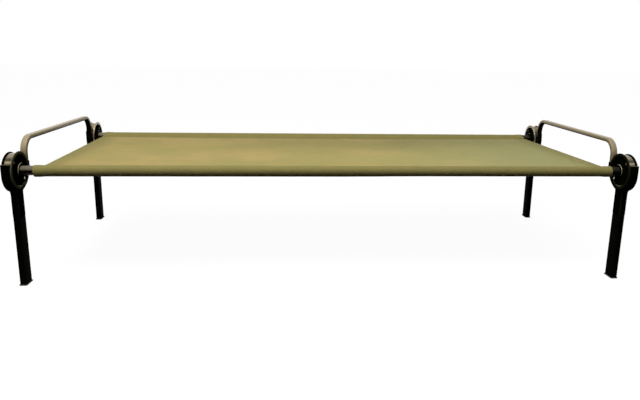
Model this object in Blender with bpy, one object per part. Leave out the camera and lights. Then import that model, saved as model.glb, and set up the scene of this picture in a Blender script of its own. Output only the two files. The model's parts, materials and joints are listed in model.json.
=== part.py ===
# Camp bed: a fabric deck on two side rails, carried by two rigid end frames.
# Each rail ends in a round disc that drops from above into a cup on the end frame.
# Metres, +Z up. The origin is on the floor under the middle of the bed, X runs along its length.

import math

import bmesh
import bpy
from mathutils import Matrix, Vector

# Clearances
SEAT_GAP = 0.0003
TURN_GAP = 0.0007
SIDE_GAP = 0.0005

# Side rails
RAIL_SPACING = 0.773
RAIL_HEIGHT = 0.3896
RAIL_DIAMETER = 0.0318
RAIL_WALL = 0.0015
RAIL_JOINT_X = 0.340
RAIL_END_DEPTH = 0.018
JOINER_LENGTH = 0.120
JOINER_WALL = 0.0015

# Snap buttons that lock the rail sections together
BUTTON_INSET = 0.030
BUTTON_RADIUS = 0.0040
BUTTON_DOME = 0.0016
BUTTON_FOOT_DEPTH = 0.0012
CLIP_WIDTH = 0.009
CLIP_THICKNESS = 0.0007
CLIP_LENGTH = 0.045
CLIP_BEND_LENGTH = 0.009
CLIP_BEND_RADIUS = 0.0028

# Discs at the rail ends
FLANGE_FACE_X = 1.0104
FLANGE_OVERHANG = 0.0053
FLANGE_THICKNESS = 0.0036
FLANGE_EDGE = 0.0009
FLANGE_RIM_WIDTH = 0.0105
FLANGE_DISH_DEPTH = 0.0042
FLANGE_DISH_SLOPE = 0.0021
FLANGE_SKIN = 0.0016
COLLAR_RADIUS = 0.0252
COLLAR_RISE = 0.0026
HUB_RADIUS = 0.0575
HUB_WIDTH = 0.0257
HUB_EDGE = 0.0013
HUB_RIM_WALL = 0.0045
HUB_WEB = 0.0040
HUB_BOSS_WALL = 0.0055
HUB_RIBS = 6
HUB_RIB_THICKNESS = 0.0065
DISC_SCREW_INSET = 0.0017
DISC_SCREW_ANGLE = math.radians(-45)
DISC_SCREW_RADIUS = 0.00175
DISC_SCREW_HEAD_RADIUS = 0.0045
DISC_SCREW_HEAD_HEIGHT = 0.0022
DISC_SCREW_LENGTH = 0.014

# Leg heads: an open-topped cup, a lug for the end bar and a socket for the leg
CUP_WALL = 0.0035
CUP_ROUND_DROP = 0.0075
CUP_BACK_OVERHANG = 0.0028
CUP_BACK = 0.0045
CUP_RIM_RISE = 0.030
NECK_FILLET = 0.022
CHEEK = 0.0009
CHEEK_DEPTH = 0.1600
CHEEK_CORNER = 0.009
TENON_DEPTH = 0.140
LUG_LOW = -0.022
LUG_HIGH = 0.020
LUG_WALL = 0.0014
LUG_SETBACK = 0.0020

# Legs
LEG_SETBACK = 0.0143
LEG_WIDTH = 0.0455
LEG_THICKNESS = 0.0204
LEG_WALL = 0.0015
LEG_CORNER = 0.0028
LEG_TOP_DEPTH = 0.0736
LEG_SCREW_DEPTH = 0.115
LEG_SCREW_RADIUS = 0.0021
LEG_SCREW_HEAD_RADIUS = 0.0045
LEG_SCREW_HEAD_HEIGHT = 0.0020
LEG_SCREW_LENGTH = 0.012
FOOT_END_MARGIN = 0.00275
FOOT_SIDE_MARGIN = 0.0033
FOOT_SOLE = 0.0032
FOOT_CORNER = 0.006
FOOT_PLUG = 0.022

# End bars
BAR_RISE = 0.1024
BAR_CLEARANCE = 0.0017
BAR_BREADTH = 0.0195
BAR_THICKNESS = 0.0145
BAR_EDGE_FLAT = 0.0065
BAR_WALL = 0.0014
BAR_BEND = 0.051
BAR_SEAT_WALL = 0.0040
BAR_END_DROP = 0.028
BAR_BOLT_RADIUS = 0.0030
BAR_BOLT_HEAD_RADIUS = 0.0110
BAR_BOLT_HEAD_HEIGHT = 0.0055
BAR_BOLT_TIP = 0.0006

# Fabric deck
BARE_RAIL = 0.0330
FABRIC = 0.0008
WEB_RISE = 0.001
WEB_SAG = 0.006
WEB_STATIONS = 8
WEB_STRIPS = 8

# Facets on round shapes
RAIL_STEPS = 20
DISC_STEPS = 28
SMALL_STEPS = 10
FILLET_STEPS = 4
CORNER_STEPS = 3
BEND_STEPS = 5
SCREW_DOME_STEPS = 2
BOLT_DOME_STEPS = 3

# How far round a quarter ellipse a domed head goes before its flat crown
DOME_TURN = math.radians(66)

# Edges bent more than this are drawn sharp
SHARP_ANGLE = math.radians(35)

# Places worked out from the sizes
RAIL_RADIUS = RAIL_DIAMETER / 2
RAIL_Y = RAIL_SPACING / 2
FLANGE_RADIUS = HUB_RADIUS + FLANGE_OVERHANG
FLANGE_BACK_X = FLANGE_FACE_X + FLANGE_THICKNESS
HUB_FACE_X = FLANGE_BACK_X + SEAT_GAP
HUB_BACK_X = HUB_FACE_X + HUB_WIDTH
CUP_FACE_X = FLANGE_BACK_X + SIDE_GAP
CUP_FLOOR_X = HUB_BACK_X + SIDE_GAP
CUP_BACK_X = CUP_FLOOR_X + CUP_BACK
CUP_BORE = HUB_RADIUS + TURN_GAP
CUP_RADIUS = CUP_BORE + CUP_WALL
CUP_BACK_RADIUS = CUP_BORE + CUP_BACK_OVERHANG
DISH_RADIUS = FLANGE_RADIUS - FLANGE_RIM_WIDTH
DISH_FLOOR_RADIUS = DISH_RADIUS - FLANGE_DISH_SLOPE
DISH_X = FLANGE_FACE_X + FLANGE_DISH_DEPTH
DISH_BACK_X = DISH_X + FLANGE_SKIN
DISC_SCREW_CIRCLE = DISH_FLOOR_RADIUS - DISC_SCREW_HEAD_RADIUS - DISC_SCREW_INSET
RAIL_BORE = RAIL_RADIUS + SEAT_GAP
RAIL_END_X = FLANGE_BACK_X + RAIL_END_DEPTH
JOINER_RADIUS = RAIL_RADIUS - RAIL_WALL - SEAT_GAP
JOINER_BORE = JOINER_RADIUS - JOINER_WALL
LEG_X = CUP_FACE_X + LEG_SETBACK
NECK_THICKNESS = LEG_THICKNESS + 2 * (SEAT_GAP + CHEEK)
FOOT_LENGTH = LEG_WIDTH + 2 * FOOT_END_MARGIN
FOOT_BREADTH = LEG_THICKNESS + 2 * FOOT_SIDE_MARGIN
BAR_X = FLANGE_BACK_X + BAR_CLEARANCE + BAR_BREADTH / 2
BAR_INSET = CUP_BORE + BAR_SEAT_WALL + SEAT_GAP + BAR_THICKNESS / 2
BAR_CORNER = (BAR_THICKNESS - BAR_EDGE_FLAT) / 2
BAR_Y = RAIL_Y - BAR_INSET
BAR_MID_Z = RAIL_HEIGHT + BAR_RISE - BAR_THICKNESS / 2
SLEEVE_END_X = FLANGE_FACE_X - BARE_RAIL
SLEEVE_BORE = RAIL_RADIUS + SEAT_GAP
SLEEVE_RADIUS = SLEEVE_BORE + FABRIC

# Overlap that lets a cutter pass right through what it cuts
PASS = 0.005


def clearScene():
    for thing in list(bpy.data.objects):
        bpy.data.objects.remove(thing)


def makeMaterial(name, colour, roughness, metallic):
    material = bpy.data.materials.new(name)
    material.use_nodes = True
    shader = material.node_tree.nodes["Principled BSDF"]
    shader.inputs["Base Color"].default_value = (*colour, 1.0)
    shader.inputs["Roughness"].default_value = roughness
    shader.inputs["Metallic"].default_value = metallic
    material.diffuse_color = (*colour, 1.0)
    return material


def arcPoints(centre, radius, start, end, steps):
    points = []
    for i in range(steps + 1):
        angle = start + (end - start) * i / steps
        points.append((centre[0] + radius * math.cos(angle), centre[1] + radius * math.sin(angle)))
    return points


def roundedRectangle(width, height, corner, steps):
    points = []
    for quarter, (sideX, sideY) in enumerate(((1, 1), (-1, 1), (-1, -1), (1, -1))):
        centre = (sideX * (width / 2 - corner), sideY * (height / 2 - corner))
        start = quarter * math.pi / 2
        points += arcPoints(centre, corner, start, start + math.pi / 2, steps)
    return points


def meshFromBmesh(bm, name):
    bmesh.ops.remove_doubles(bm, verts=bm.verts, dist=1e-6)
    bmesh.ops.recalc_face_normals(bm, faces=bm.faces)
    mesh = bpy.data.meshes.new(name)
    bm.to_mesh(mesh)
    bm.free()
    return mesh


def placeInPlane(point, level, axis):
    # The outline's two coordinates go to the plane square to the axis, in the order X, Y, Z.
    if axis == "X":
        return Vector((level, point[0], point[1]))
    if axis == "Y":
        return Vector((point[0], level, point[1]))
    return Vector((point[0], point[1], level))


def prismMesh(outline, low, high, axis, name="prism"):
    bm = bmesh.new()
    base = [bm.verts.new(placeInPlane(point, low, axis)) for point in outline]
    face = bm.faces.new(base)
    grown = bmesh.ops.extrude_face_region(bm, geom=[face])
    moved = [item for item in grown["geom"] if isinstance(item, bmesh.types.BMVert)]
    shift = placeInPlane((0, 0), high - low, axis)
    bmesh.ops.translate(bm, verts=moved, vec=shift)
    return meshFromBmesh(bm, name)


def turnedMesh(profile, steps, axis, name="turned"):
    # The profile is a closed loop of (place along the axis, radius); points on the axis merge into one.
    bm = bmesh.new()
    around = {"X": Vector((1, 0, 0)), "Y": Vector((0, 1, 0)), "Z": Vector((0, 0, 1))}[axis]
    away = {"X": Vector((0, 0, 1)), "Y": Vector((0, 0, 1)), "Z": Vector((1, 0, 0))}[axis]
    loop = [bm.verts.new(around * along + away * radius) for along, radius in profile]
    edges = []
    for i, vertex in enumerate(loop):
        following = loop[(i + 1) % len(loop)]
        if profile[i][1] > 0 or profile[(i + 1) % len(loop)][1] > 0:
            edges.append(bm.edges.new((vertex, following)))
    bmesh.ops.spin(
        bm,
        geom=loop + edges,
        cent=(0, 0, 0),
        axis=around,
        angle=2 * math.pi,
        steps=steps,
        use_merge=True,
    )
    return meshFromBmesh(bm, name)


def domePoints(seat, direction, radius, height, steps):
    # A quarter of an ellipse from the rim at the seat to a small flat crown.
    points = []
    for i in range(steps + 1):
        angle = DOME_TURN * i / steps
        rise = height * math.sin(angle) / math.sin(DOME_TURN)
        points.append((seat + direction * rise, radius * math.cos(angle)))
    return points + [(seat + direction * height, 0)]


def shifted(mesh, offset):
    mesh.transform(Matrix.Translation(offset))
    return mesh


def combined(base, tools):
    # The base mesh after each (operation, mesh) in turn, as a new mesh.
    body = bpy.data.objects.new("body", base)
    bpy.context.scene.collection.objects.link(body)
    helpers = []
    for operation, mesh in tools:
        helper = bpy.data.objects.new("helper", mesh)
        helper.hide_render = True
        helper.display_type = "WIRE"
        bpy.context.scene.collection.objects.link(helper)
        modifier = body.modifiers.new(operation.lower(), "BOOLEAN")
        modifier.operation = operation
        modifier.object = helper
        modifier.solver = "EXACT"
        helpers.append(helper)
    bpy.context.view_layer.update()
    graph = bpy.context.evaluated_depsgraph_get()
    result = bpy.data.meshes.new_from_object(body.evaluated_get(graph))
    bpy.data.objects.remove(body)
    for helper in helpers:
        bpy.data.objects.remove(helper)
    return result


def mirrored(mesh, sideX, sideY):
    copy = mesh.copy()
    copy.transform(Matrix.Diagonal((sideX, sideY, 1, 1)))
    if sideX * sideY < 0:
        copy.flip_normals()
    return copy


def addEmpty(name, place, parent=None):
    empty = bpy.data.objects.new(name, None)
    empty.empty_display_size = 0.05
    bpy.context.scene.collection.objects.link(empty)
    if parent:
        empty.parent = parent
        empty.location = Vector(place) - parent.matrix_world.translation
    else:
        empty.location = place
    bpy.context.view_layer.update()
    return empty


def addPiece(name, mesh, material, parent, origin=None):
    # The mesh comes in world coordinates; it is moved back by the origin that the piece gets.
    place = Vector(origin) if origin else parent.matrix_world.translation.copy()
    mesh.transform(Matrix.Translation(-place))
    mesh.name = name
    mesh.materials.clear()
    mesh.materials.append(material)
    mesh.shade_smooth()
    mesh.set_sharp_from_angle(angle=SHARP_ANGLE)
    piece = bpy.data.objects.new(name, mesh)
    bpy.context.scene.collection.objects.link(piece)
    piece.parent = parent
    piece.location = place - parent.matrix_world.translation
    bpy.context.view_layer.update()
    return piece


# Rails, joiners and snap buttons

def tubeMesh(outer, inner, low, high, steps):
    profile = ((low, inner), (low, outer), (high, outer), (high, inner))
    return turnedMesh(profile, steps, "X")


def buttonPlaces():
    # Each button sits in the end section, inboard of which the joiner is fixed in the middle section.
    return [-(RAIL_JOINT_X + BUTTON_INSET), RAIL_JOINT_X + BUTTON_INSET]


def buttonHoleCutter(x):
    profile = (
        (-RAIL_RADIUS - PASS, 0),
        (-RAIL_RADIUS - PASS, BUTTON_RADIUS + SEAT_GAP),
        (0, BUTTON_RADIUS + SEAT_GAP),
        (0, 0),
    )
    return shifted(turnedMesh(profile, SMALL_STEPS, "Z"), (x, 0, 0))


def railSectionMesh(low, high, holes):
    tube = tubeMesh(RAIL_RADIUS, RAIL_RADIUS - RAIL_WALL, low, high, RAIL_STEPS)
    if not holes:
        return tube
    return combined(tube, [("DIFFERENCE", buttonHoleCutter(x)) for x in holes])


def joinerMesh(centre, hole):
    low = centre - JOINER_LENGTH / 2
    high = centre + JOINER_LENGTH / 2
    tube = tubeMesh(JOINER_RADIUS, JOINER_BORE, low, high, RAIL_STEPS)
    return combined(tube, [("DIFFERENCE", buttonHoleCutter(hole))])


def buttonMesh():
    # A domed pin that points down through the joiner and the rail.
    tip = -RAIL_RADIUS + SEAT_GAP
    foot = -JOINER_BORE + BUTTON_FOOT_DEPTH
    rim = tip + BUTTON_DOME
    profile = domePoints(rim, -1, BUTTON_RADIUS, BUTTON_DOME, SCREW_DOME_STEPS)
    profile += [(foot, 0), (foot, BUTTON_RADIUS)]
    return turnedMesh(profile, SMALL_STEPS, "Z")


def clipMesh(direction):
    # A sprung leaf bent into a V, from behind the button to the far wall of the joiner.
    foot = -JOINER_BORE + BUTTON_FOOT_DEPTH + SEAT_GAP
    halfChord = CLIP_WIDTH / 2
    roof = math.sqrt(JOINER_BORE**2 - halfChord**2) - 2 * SEAT_GAP
    bend = CLIP_LENGTH - CLIP_BEND_LENGTH
    spine = (
        (direction * halfChord, foot),
        (-direction * halfChord, foot),
        (-direction * bend, -CLIP_BEND_RADIUS),
        (-direction * CLIP_LENGTH, 0),
        (-direction * bend, CLIP_BEND_RADIUS),
        (0, roof),
    )
    lower = []
    upper = []
    for i, (x, z) in enumerate(spine):
        before = Vector(spine[max(i - 1, 0)])
        after = Vector(spine[min(i + 1, len(spine) - 1)])
        along = (after - before).normalized()
        across = Vector((-along.y, along.x)) * -direction
        lower.append((x, z))
        upper.append((x + across.x * CLIP_THICKNESS, z + across.y * CLIP_THICKNESS))
    outline = lower + upper[::-1]
    return prismMesh(outline, -halfChord, halfChord, "Y")


def addRail(side, sideY, parent, materials):
    axis = (0, sideY * RAIL_Y, RAIL_HEIGHT)
    buttons = buttonPlaces()
    half = SEAT_GAP / 2
    spans = {
        "left": (-RAIL_END_X, -RAIL_JOINT_X - half, buttons[:1]),
        "middle": (-RAIL_JOINT_X + half, RAIL_JOINT_X - half, []),
        "right": (RAIL_JOINT_X + half, RAIL_END_X, buttons[1:]),
    }
    for place, (low, high, holes) in spans.items():
        mesh = shifted(railSectionMesh(low, high, holes), axis)
        addPiece(f"{side}_rail_{place}", mesh, materials["frame"], parent)
    for place, x in (("left", buttons[0]), ("right", buttons[1])):
        direction = math.copysign(1, x)
        joiner = shifted(joinerMesh(direction * RAIL_JOINT_X, x), axis)
        addPiece(f"{side}_joiner_{place}", joiner, materials["steel"], parent)
        clip = shifted(clipMesh(direction), Vector(axis) + Vector((x, 0, 0)))
        addPiece(f"{side}_clip_{place}", clip, materials["spring"], parent)
        origin = Vector(axis) + Vector((x, 0, -RAIL_RADIUS))
        button = shifted(buttonMesh(), Vector(axis) + Vector((x, 0, 0)))
        addPiece(f"{side}_button_{place}", button, materials["steel"], parent, origin)


# Discs

def discScrewPlaces():
    # Two screws face each other across the disc, at the low inboard side and the high outboard side.
    places = {}
    for label, turn in (("lower", 0), ("upper", math.pi)):
        angle = DISC_SCREW_ANGLE + turn
        y = -DISC_SCREW_CIRCLE * math.cos(angle)
        z = DISC_SCREW_CIRCLE * math.sin(angle)
        places[label] = (y, z)
    return places


def screwHoleCutter(radius, low, high, place):
    profile = ((low, 0), (low, radius), (high, radius), (high, 0))
    return shifted(turnedMesh(profile, SMALL_STEPS, "X"), (0, place[0], place[1]))


def flangeMesh():
    collarFace = FLANGE_FACE_X - COLLAR_RISE
    profile = (
        (DISH_BACK_X, RAIL_BORE),
        (collarFace, RAIL_BORE),
        (collarFace, COLLAR_RADIUS),
        (DISH_X, COLLAR_RADIUS),
        (DISH_X, DISH_FLOOR_RADIUS),
        (FLANGE_FACE_X, DISH_RADIUS),
        (FLANGE_FACE_X, FLANGE_RADIUS - FLANGE_EDGE),
        (FLANGE_FACE_X + FLANGE_EDGE, FLANGE_RADIUS),
        (FLANGE_BACK_X, FLANGE_RADIUS),
        (FLANGE_BACK_X, DISH_RADIUS),
        (DISH_BACK_X, DISH_FLOOR_RADIUS),
    )
    holes = []
    for place in discScrewPlaces().values():
        cutter = screwHoleCutter(
            DISC_SCREW_RADIUS + 2 * SEAT_GAP, FLANGE_FACE_X, DISH_BACK_X + PASS, place
        )
        holes.append(("DIFFERENCE", cutter))
    return combined(turnedMesh(profile, DISC_STEPS, "X"), holes)


def hubPocketCutter(angle, low, high):
    inner = RAIL_BORE + HUB_BOSS_WALL
    outer = HUB_RADIUS - HUB_RIM_WALL
    sector = 2 * math.pi / HUB_RIBS
    innerTurn = math.asin(HUB_RIB_THICKNESS / 2 / inner)
    outerTurn = math.asin(HUB_RIB_THICKNESS / 2 / outer)
    start = angle + outerTurn
    end = angle + sector - outerTurn
    outline = arcPoints((0, 0), outer, start, end, FILLET_STEPS)
    start = angle + sector - innerTurn
    end = angle + innerTurn
    outline += arcPoints((0, 0), inner, start, end, FILLET_STEPS // 2)
    return prismMesh(outline, low, high, "X")


def hubMesh():
    seat = DISH_BACK_X + SEAT_GAP
    profile = (
        (HUB_BACK_X, RAIL_BORE),
        (seat, RAIL_BORE),
        (seat, DISH_FLOOR_RADIUS),
        (HUB_FACE_X, DISH_RADIUS + SEAT_GAP),
        (HUB_FACE_X, HUB_RADIUS),
        (HUB_BACK_X - HUB_EDGE, HUB_RADIUS),
        (HUB_BACK_X, HUB_RADIUS - HUB_EDGE),
    )
    tools = []
    for i in range(HUB_RIBS):
        # The ribs line up with the screws, measured in the plane of (Y, Z).
        angle = math.pi - DISC_SCREW_ANGLE + i * 2 * math.pi / HUB_RIBS
        cutter = hubPocketCutter(angle, seat + HUB_WEB, HUB_BACK_X + PASS)
        tools.append(("DIFFERENCE", cutter))
    for place in discScrewPlaces().values():
        end = DISH_X + DISC_SCREW_LENGTH + 2 * SEAT_GAP
        cutter = screwHoleCutter(DISC_SCREW_RADIUS + SEAT_GAP, HUB_FACE_X - PASS, end, place)
        tools.append(("DIFFERENCE", cutter))
    return combined(turnedMesh(profile, DISC_STEPS, "X"), tools)


def screwMesh(seat, direction, radius, headRadius, headHeight, length, place):
    # The shank runs from the seat along the direction; the domed head stands on the other side.
    under = seat - direction * SEAT_GAP
    tip = seat + direction * length
    profile = [(tip, 0), (tip, radius), (under, radius)]
    profile += domePoints(under, -direction, headRadius, headHeight, SCREW_DOME_STEPS)
    return shifted(turnedMesh(profile, SMALL_STEPS, "X"), (0, place[0], place[1]))


def discScrewMesh(place):
    return screwMesh(
        DISH_X,
        1,
        DISC_SCREW_RADIUS,
        DISC_SCREW_HEAD_RADIUS,
        DISC_SCREW_HEAD_HEIGHT,
        DISC_SCREW_LENGTH,
        place,
    )


# Leg heads

def cupOutline():
    # In the plane of (Y, Z) about the rail axis: a half round below that axis, straight sides
    # up to the rim, and a smaller round behind the disc above it.
    rimAngle = math.asin(CUP_RIM_RISE / CUP_BACK_RADIUS)
    roundCentre = (0, -CUP_ROUND_DROP)
    outline = [(-CUP_RADIUS, CUP_RIM_RISE)]
    outline += arcPoints(roundCentre, CUP_RADIUS, math.pi, 2 * math.pi, DISC_STEPS // 2)
    outline.append((CUP_RADIUS, CUP_RIM_RISE))
    outline += arcPoints((0, 0), CUP_BACK_RADIUS, rimAngle, math.pi - rimAngle, DISC_STEPS // 4)
    return outline


def cupCutter():
    reach = CUP_RADIUS + PASS
    outline = [(-reach, reach), (-reach, CUP_RIM_RISE), (-CUP_BORE, CUP_RIM_RISE)]
    outline += arcPoints((0, 0), CUP_BORE, math.pi, 2 * math.pi, DISC_STEPS // 2)
    outline += [(CUP_BORE, CUP_RIM_RISE), (reach, CUP_RIM_RISE), (reach, reach)]
    return prismMesh(outline, CUP_FACE_X - PASS, CUP_FLOOR_X, "X")


def neckOutline():
    # A fillet on each side takes the round cup into the straight leg, down to the cheeks' ends.
    halfWidth = LEG_WIDTH / 2
    centreY = halfWidth + NECK_FILLET
    fall = math.sqrt((CUP_RADIUS + NECK_FILLET) ** 2 - centreY**2)
    centreZ = -CUP_ROUND_DROP - fall
    touch = math.atan2(fall, -centreY)
    right = [(halfWidth, 0)]
    right += arcPoints((centreY, centreZ), NECK_FILLET, touch, math.pi, FILLET_STEPS)
    cornerCentre = (halfWidth - CHEEK_CORNER, -CHEEK_DEPTH + CHEEK_CORNER)
    right += arcPoints(cornerCentre, CHEEK_CORNER, 0, -math.pi / 2, CORNER_STEPS)
    left = [(-y, z) for y, z in reversed(right)]
    return right + left


def legSlotCutters():
    # The leg tube slides into a slot between two cheeks outside it and a tenon inside it.
    top = -LEG_TOP_DEPTH + SEAT_GAP
    bottom = -CHEEK_DEPTH - PASS
    outer = roundedRectangle(
        LEG_THICKNESS + 2 * SEAT_GAP,
        LEG_WIDTH + 2 * SEAT_GAP,
        LEG_CORNER + SEAT_GAP,
        CORNER_STEPS,
    )
    slot = prismMesh(outer, bottom, top, "Z")
    inset = 2 * (LEG_WALL + SEAT_GAP)
    core = roundedRectangle(
        LEG_THICKNESS - inset,
        LEG_WIDTH - inset,
        LEG_CORNER - LEG_WALL - SEAT_GAP,
        CORNER_STEPS,
    )
    tenon = prismMesh(core, -TENON_DEPTH, top + PASS, "Z")
    cutter = combined(slot, [("DIFFERENCE", tenon)])
    return shifted(cutter, (LEG_X, 0, 0))


def lugMesh():
    # It stays clear of the disc's flange, which passes it when the frame is lifted off.
    halfBreadth = BAR_BREADTH / 2 + SEAT_GAP + LUG_WALL
    front = -BAR_INSET - BAR_THICKNESS / 2 + LUG_SETBACK
    step = -FLANGE_RADIUS - SIDE_GAP
    outline = (
        (BAR_X - halfBreadth, front),
        (BAR_X + halfBreadth, front),
        (BAR_X + halfBreadth, -CUP_BORE),
        (CUP_FACE_X, -CUP_BORE),
        (CUP_FACE_X, step),
        (BAR_X - halfBreadth, step),
    )
    return prismMesh(outline, LUG_LOW, LUG_HIGH, "Z")


def barChannelCutter():
    halfBreadth = BAR_BREADTH / 2 + SEAT_GAP
    inboard = -BAR_INSET - BAR_THICKNESS / 2 - PASS
    outboard = -BAR_INSET + BAR_THICKNESS / 2 + SEAT_GAP
    outline = (
        (BAR_X - halfBreadth, inboard),
        (BAR_X + halfBreadth, inboard),
        (BAR_X + halfBreadth, outboard),
        (BAR_X - halfBreadth, outboard),
    )
    return prismMesh(outline, -BAR_END_DROP - SEAT_GAP, CUP_RIM_RISE + PASS, "Z")


def boltHoleCutter(radius):
    profile = (
        (-BAR_INSET - BAR_THICKNESS, 0),
        (-BAR_INSET - BAR_THICKNESS, radius),
        (-CUP_BORE + PASS, radius),
        (-CUP_BORE + PASS, 0),
    )
    return shifted(turnedMesh(profile, SMALL_STEPS, "Y"), (BAR_X, 0, 0))


def legScrewSeat():
    return LEG_X + NECK_THICKNESS / 2


def headMesh():
    low = LEG_X - NECK_THICKNESS / 2
    high = LEG_X + NECK_THICKNESS / 2
    legScrewHole = screwHoleCutter(
        LEG_SCREW_RADIUS + SEAT_GAP,
        legScrewSeat() - LEG_SCREW_LENGTH - SEAT_GAP,
        legScrewSeat() + PASS,
        (0, -LEG_SCREW_DEPTH),
    )
    tools = (
        ("UNION", prismMesh(neckOutline(), low, high, "X")),
        ("UNION", lugMesh()),
        ("DIFFERENCE", cupCutter()),
        ("DIFFERENCE", legSlotCutters()),
        ("DIFFERENCE", barChannelCutter()),
        ("DIFFERENCE", boltHoleCutter(BAR_BOLT_RADIUS + SEAT_GAP)),
        ("DIFFERENCE", legScrewHole),
    )
    return combined(prismMesh(cupOutline(), CUP_FACE_X, CUP_BACK_X, "X"), tools)


# Legs, feet and their screws

def legTubeMesh():
    top = -LEG_TOP_DEPTH
    bottom = FOOT_SOLE + SEAT_GAP - RAIL_HEIGHT
    outer = roundedRectangle(LEG_THICKNESS, LEG_WIDTH, LEG_CORNER, CORNER_STEPS)
    inner = roundedRectangle(
        LEG_THICKNESS - 2 * LEG_WALL,
        LEG_WIDTH - 2 * LEG_WALL,
        LEG_CORNER - LEG_WALL,
        CORNER_STEPS,
    )
    hole = screwHoleCutter(
        LEG_SCREW_RADIUS + SEAT_GAP, 0, LEG_THICKNESS, (0, -LEG_SCREW_DEPTH)
    )
    tools = (
        ("DIFFERENCE", prismMesh(inner, bottom - PASS, top + PASS, "Z")),
        ("DIFFERENCE", hole),
    )
    tube = combined(prismMesh(outer, bottom, top, "Z"), tools)
    return shifted(tube, (LEG_X, 0, 0))


def legScrewMesh():
    return screwMesh(
        legScrewSeat(),
        -1,
        LEG_SCREW_RADIUS,
        LEG_SCREW_HEAD_RADIUS,
        LEG_SCREW_HEAD_HEIGHT,
        LEG_SCREW_LENGTH,
        (0, -LEG_SCREW_DEPTH),
    )


def footMesh():
    floor = -RAIL_HEIGHT
    sole = roundedRectangle(FOOT_BREADTH, FOOT_LENGTH, FOOT_CORNER, CORNER_STEPS)
    inset = 2 * (LEG_WALL + SEAT_GAP)
    plug = roundedRectangle(
        LEG_THICKNESS - inset,
        LEG_WIDTH - inset,
        LEG_CORNER - LEG_WALL - SEAT_GAP,
        CORNER_STEPS,
    )
    tools = (("UNION", prismMesh(plug, floor + FOOT_SOLE / 2, floor + FOOT_SOLE + FOOT_PLUG, "Z")),)
    foot = combined(prismMesh(sole, floor, floor + FOOT_SOLE, "Z"), tools)
    return shifted(foot, (LEG_X, 0, 0))


# End bars

def barPath():
    # One side's points in the plane of (Y, Z), from the lower end up and round to the level top.
    bendCentre = (BAR_Y - BAR_BEND, BAR_MID_Z - BAR_BEND)
    path = [(BAR_Y, RAIL_HEIGHT - BAR_END_DROP)]
    path += arcPoints(bendCentre, BAR_BEND, 0, math.pi / 2, BEND_STEPS)
    return path + [(-y, z) for y, z in reversed(path)]


def sweptMesh(section, path):
    # The section's first coordinate lies along X, its second across the path in the bend's plane.
    bm = bmesh.new()
    rings = []
    for i, point in enumerate(path):
        here = Vector(point)
        before = (here - Vector(path[i - 1])).normalized() if i > 0 else None
        after = (Vector(path[i + 1]) - here).normalized() if i < len(path) - 1 else None
        along = ((before or after) + (after or before)).normalized()
        stretch = 1 / along.dot(after or before)
        across = Vector((along.y, -along.x)) * stretch
        ring = []
        for x, offset in section:
            ring.append(bm.verts.new((x, here.x + across.x * offset, here.y + across.y * offset)))
        rings.append(ring)
    count = len(section)
    for first, second in zip(rings, rings[1:]):
        for j in range(count):
            k = (j + 1) % count
            bm.faces.new((first[j], first[k], second[k], second[j]))
    bm.faces.new(rings[0])
    bm.faces.new(rings[-1])
    return meshFromBmesh(bm, "swept")


def barMesh():
    path = barPath()
    outer = roundedRectangle(BAR_BREADTH, BAR_THICKNESS, BAR_CORNER, CORNER_STEPS - 1)
    inner = roundedRectangle(
        BAR_BREADTH - 2 * BAR_WALL,
        BAR_THICKNESS - 2 * BAR_WALL,
        BAR_CORNER - BAR_WALL,
        CORNER_STEPS - 1,
    )
    low = (path[0][0], path[0][1] - PASS)
    longer = [low] + path[1:-1] + [(-low[0], low[1])]
    tools = [("DIFFERENCE", sweptMesh(inner, longer))]
    for side in (1, -1):
        profile = (
            (side * (BAR_Y - BAR_THICKNESS), 0),
            (side * (BAR_Y - BAR_THICKNESS), BAR_BOLT_RADIUS + SEAT_GAP),
            (side * (BAR_Y + BAR_THICKNESS), BAR_BOLT_RADIUS + SEAT_GAP),
            (side * (BAR_Y + BAR_THICKNESS), 0),
        )
        tools.append(("DIFFERENCE", shifted(turnedMesh(profile, SMALL_STEPS, "Y"), (0, 0, RAIL_HEIGHT))))
    return shifted(combined(sweptMesh(outer, path), tools), (BAR_X, 0, 0))


def barBoltMesh():
    # A wide domed head on the bar's inboard face, a shank through the bar into the cup's wall.
    seat = -BAR_INSET - BAR_THICKNESS / 2 - SEAT_GAP
    tip = -CUP_BORE - BAR_BOLT_TIP
    profile = [(tip, 0), (tip, BAR_BOLT_RADIUS), (seat, BAR_BOLT_RADIUS)]
    profile += domePoints(
        seat, -1, BAR_BOLT_HEAD_RADIUS, BAR_BOLT_HEAD_HEIGHT, BOLT_DOME_STEPS
    )
    return shifted(turnedMesh(profile, SMALL_STEPS, "Y"), (BAR_X, 0, 0))


# Fabric deck

def webHeight(x, y):
    edge = RAIL_HEIGHT + WEB_RISE
    lengthwise = 1 - (x / SLEEVE_END_X) ** 2
    crosswise = 1 - (y / RAIL_Y) ** 2
    return edge - WEB_SAG * lengthwise * crosswise


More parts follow.
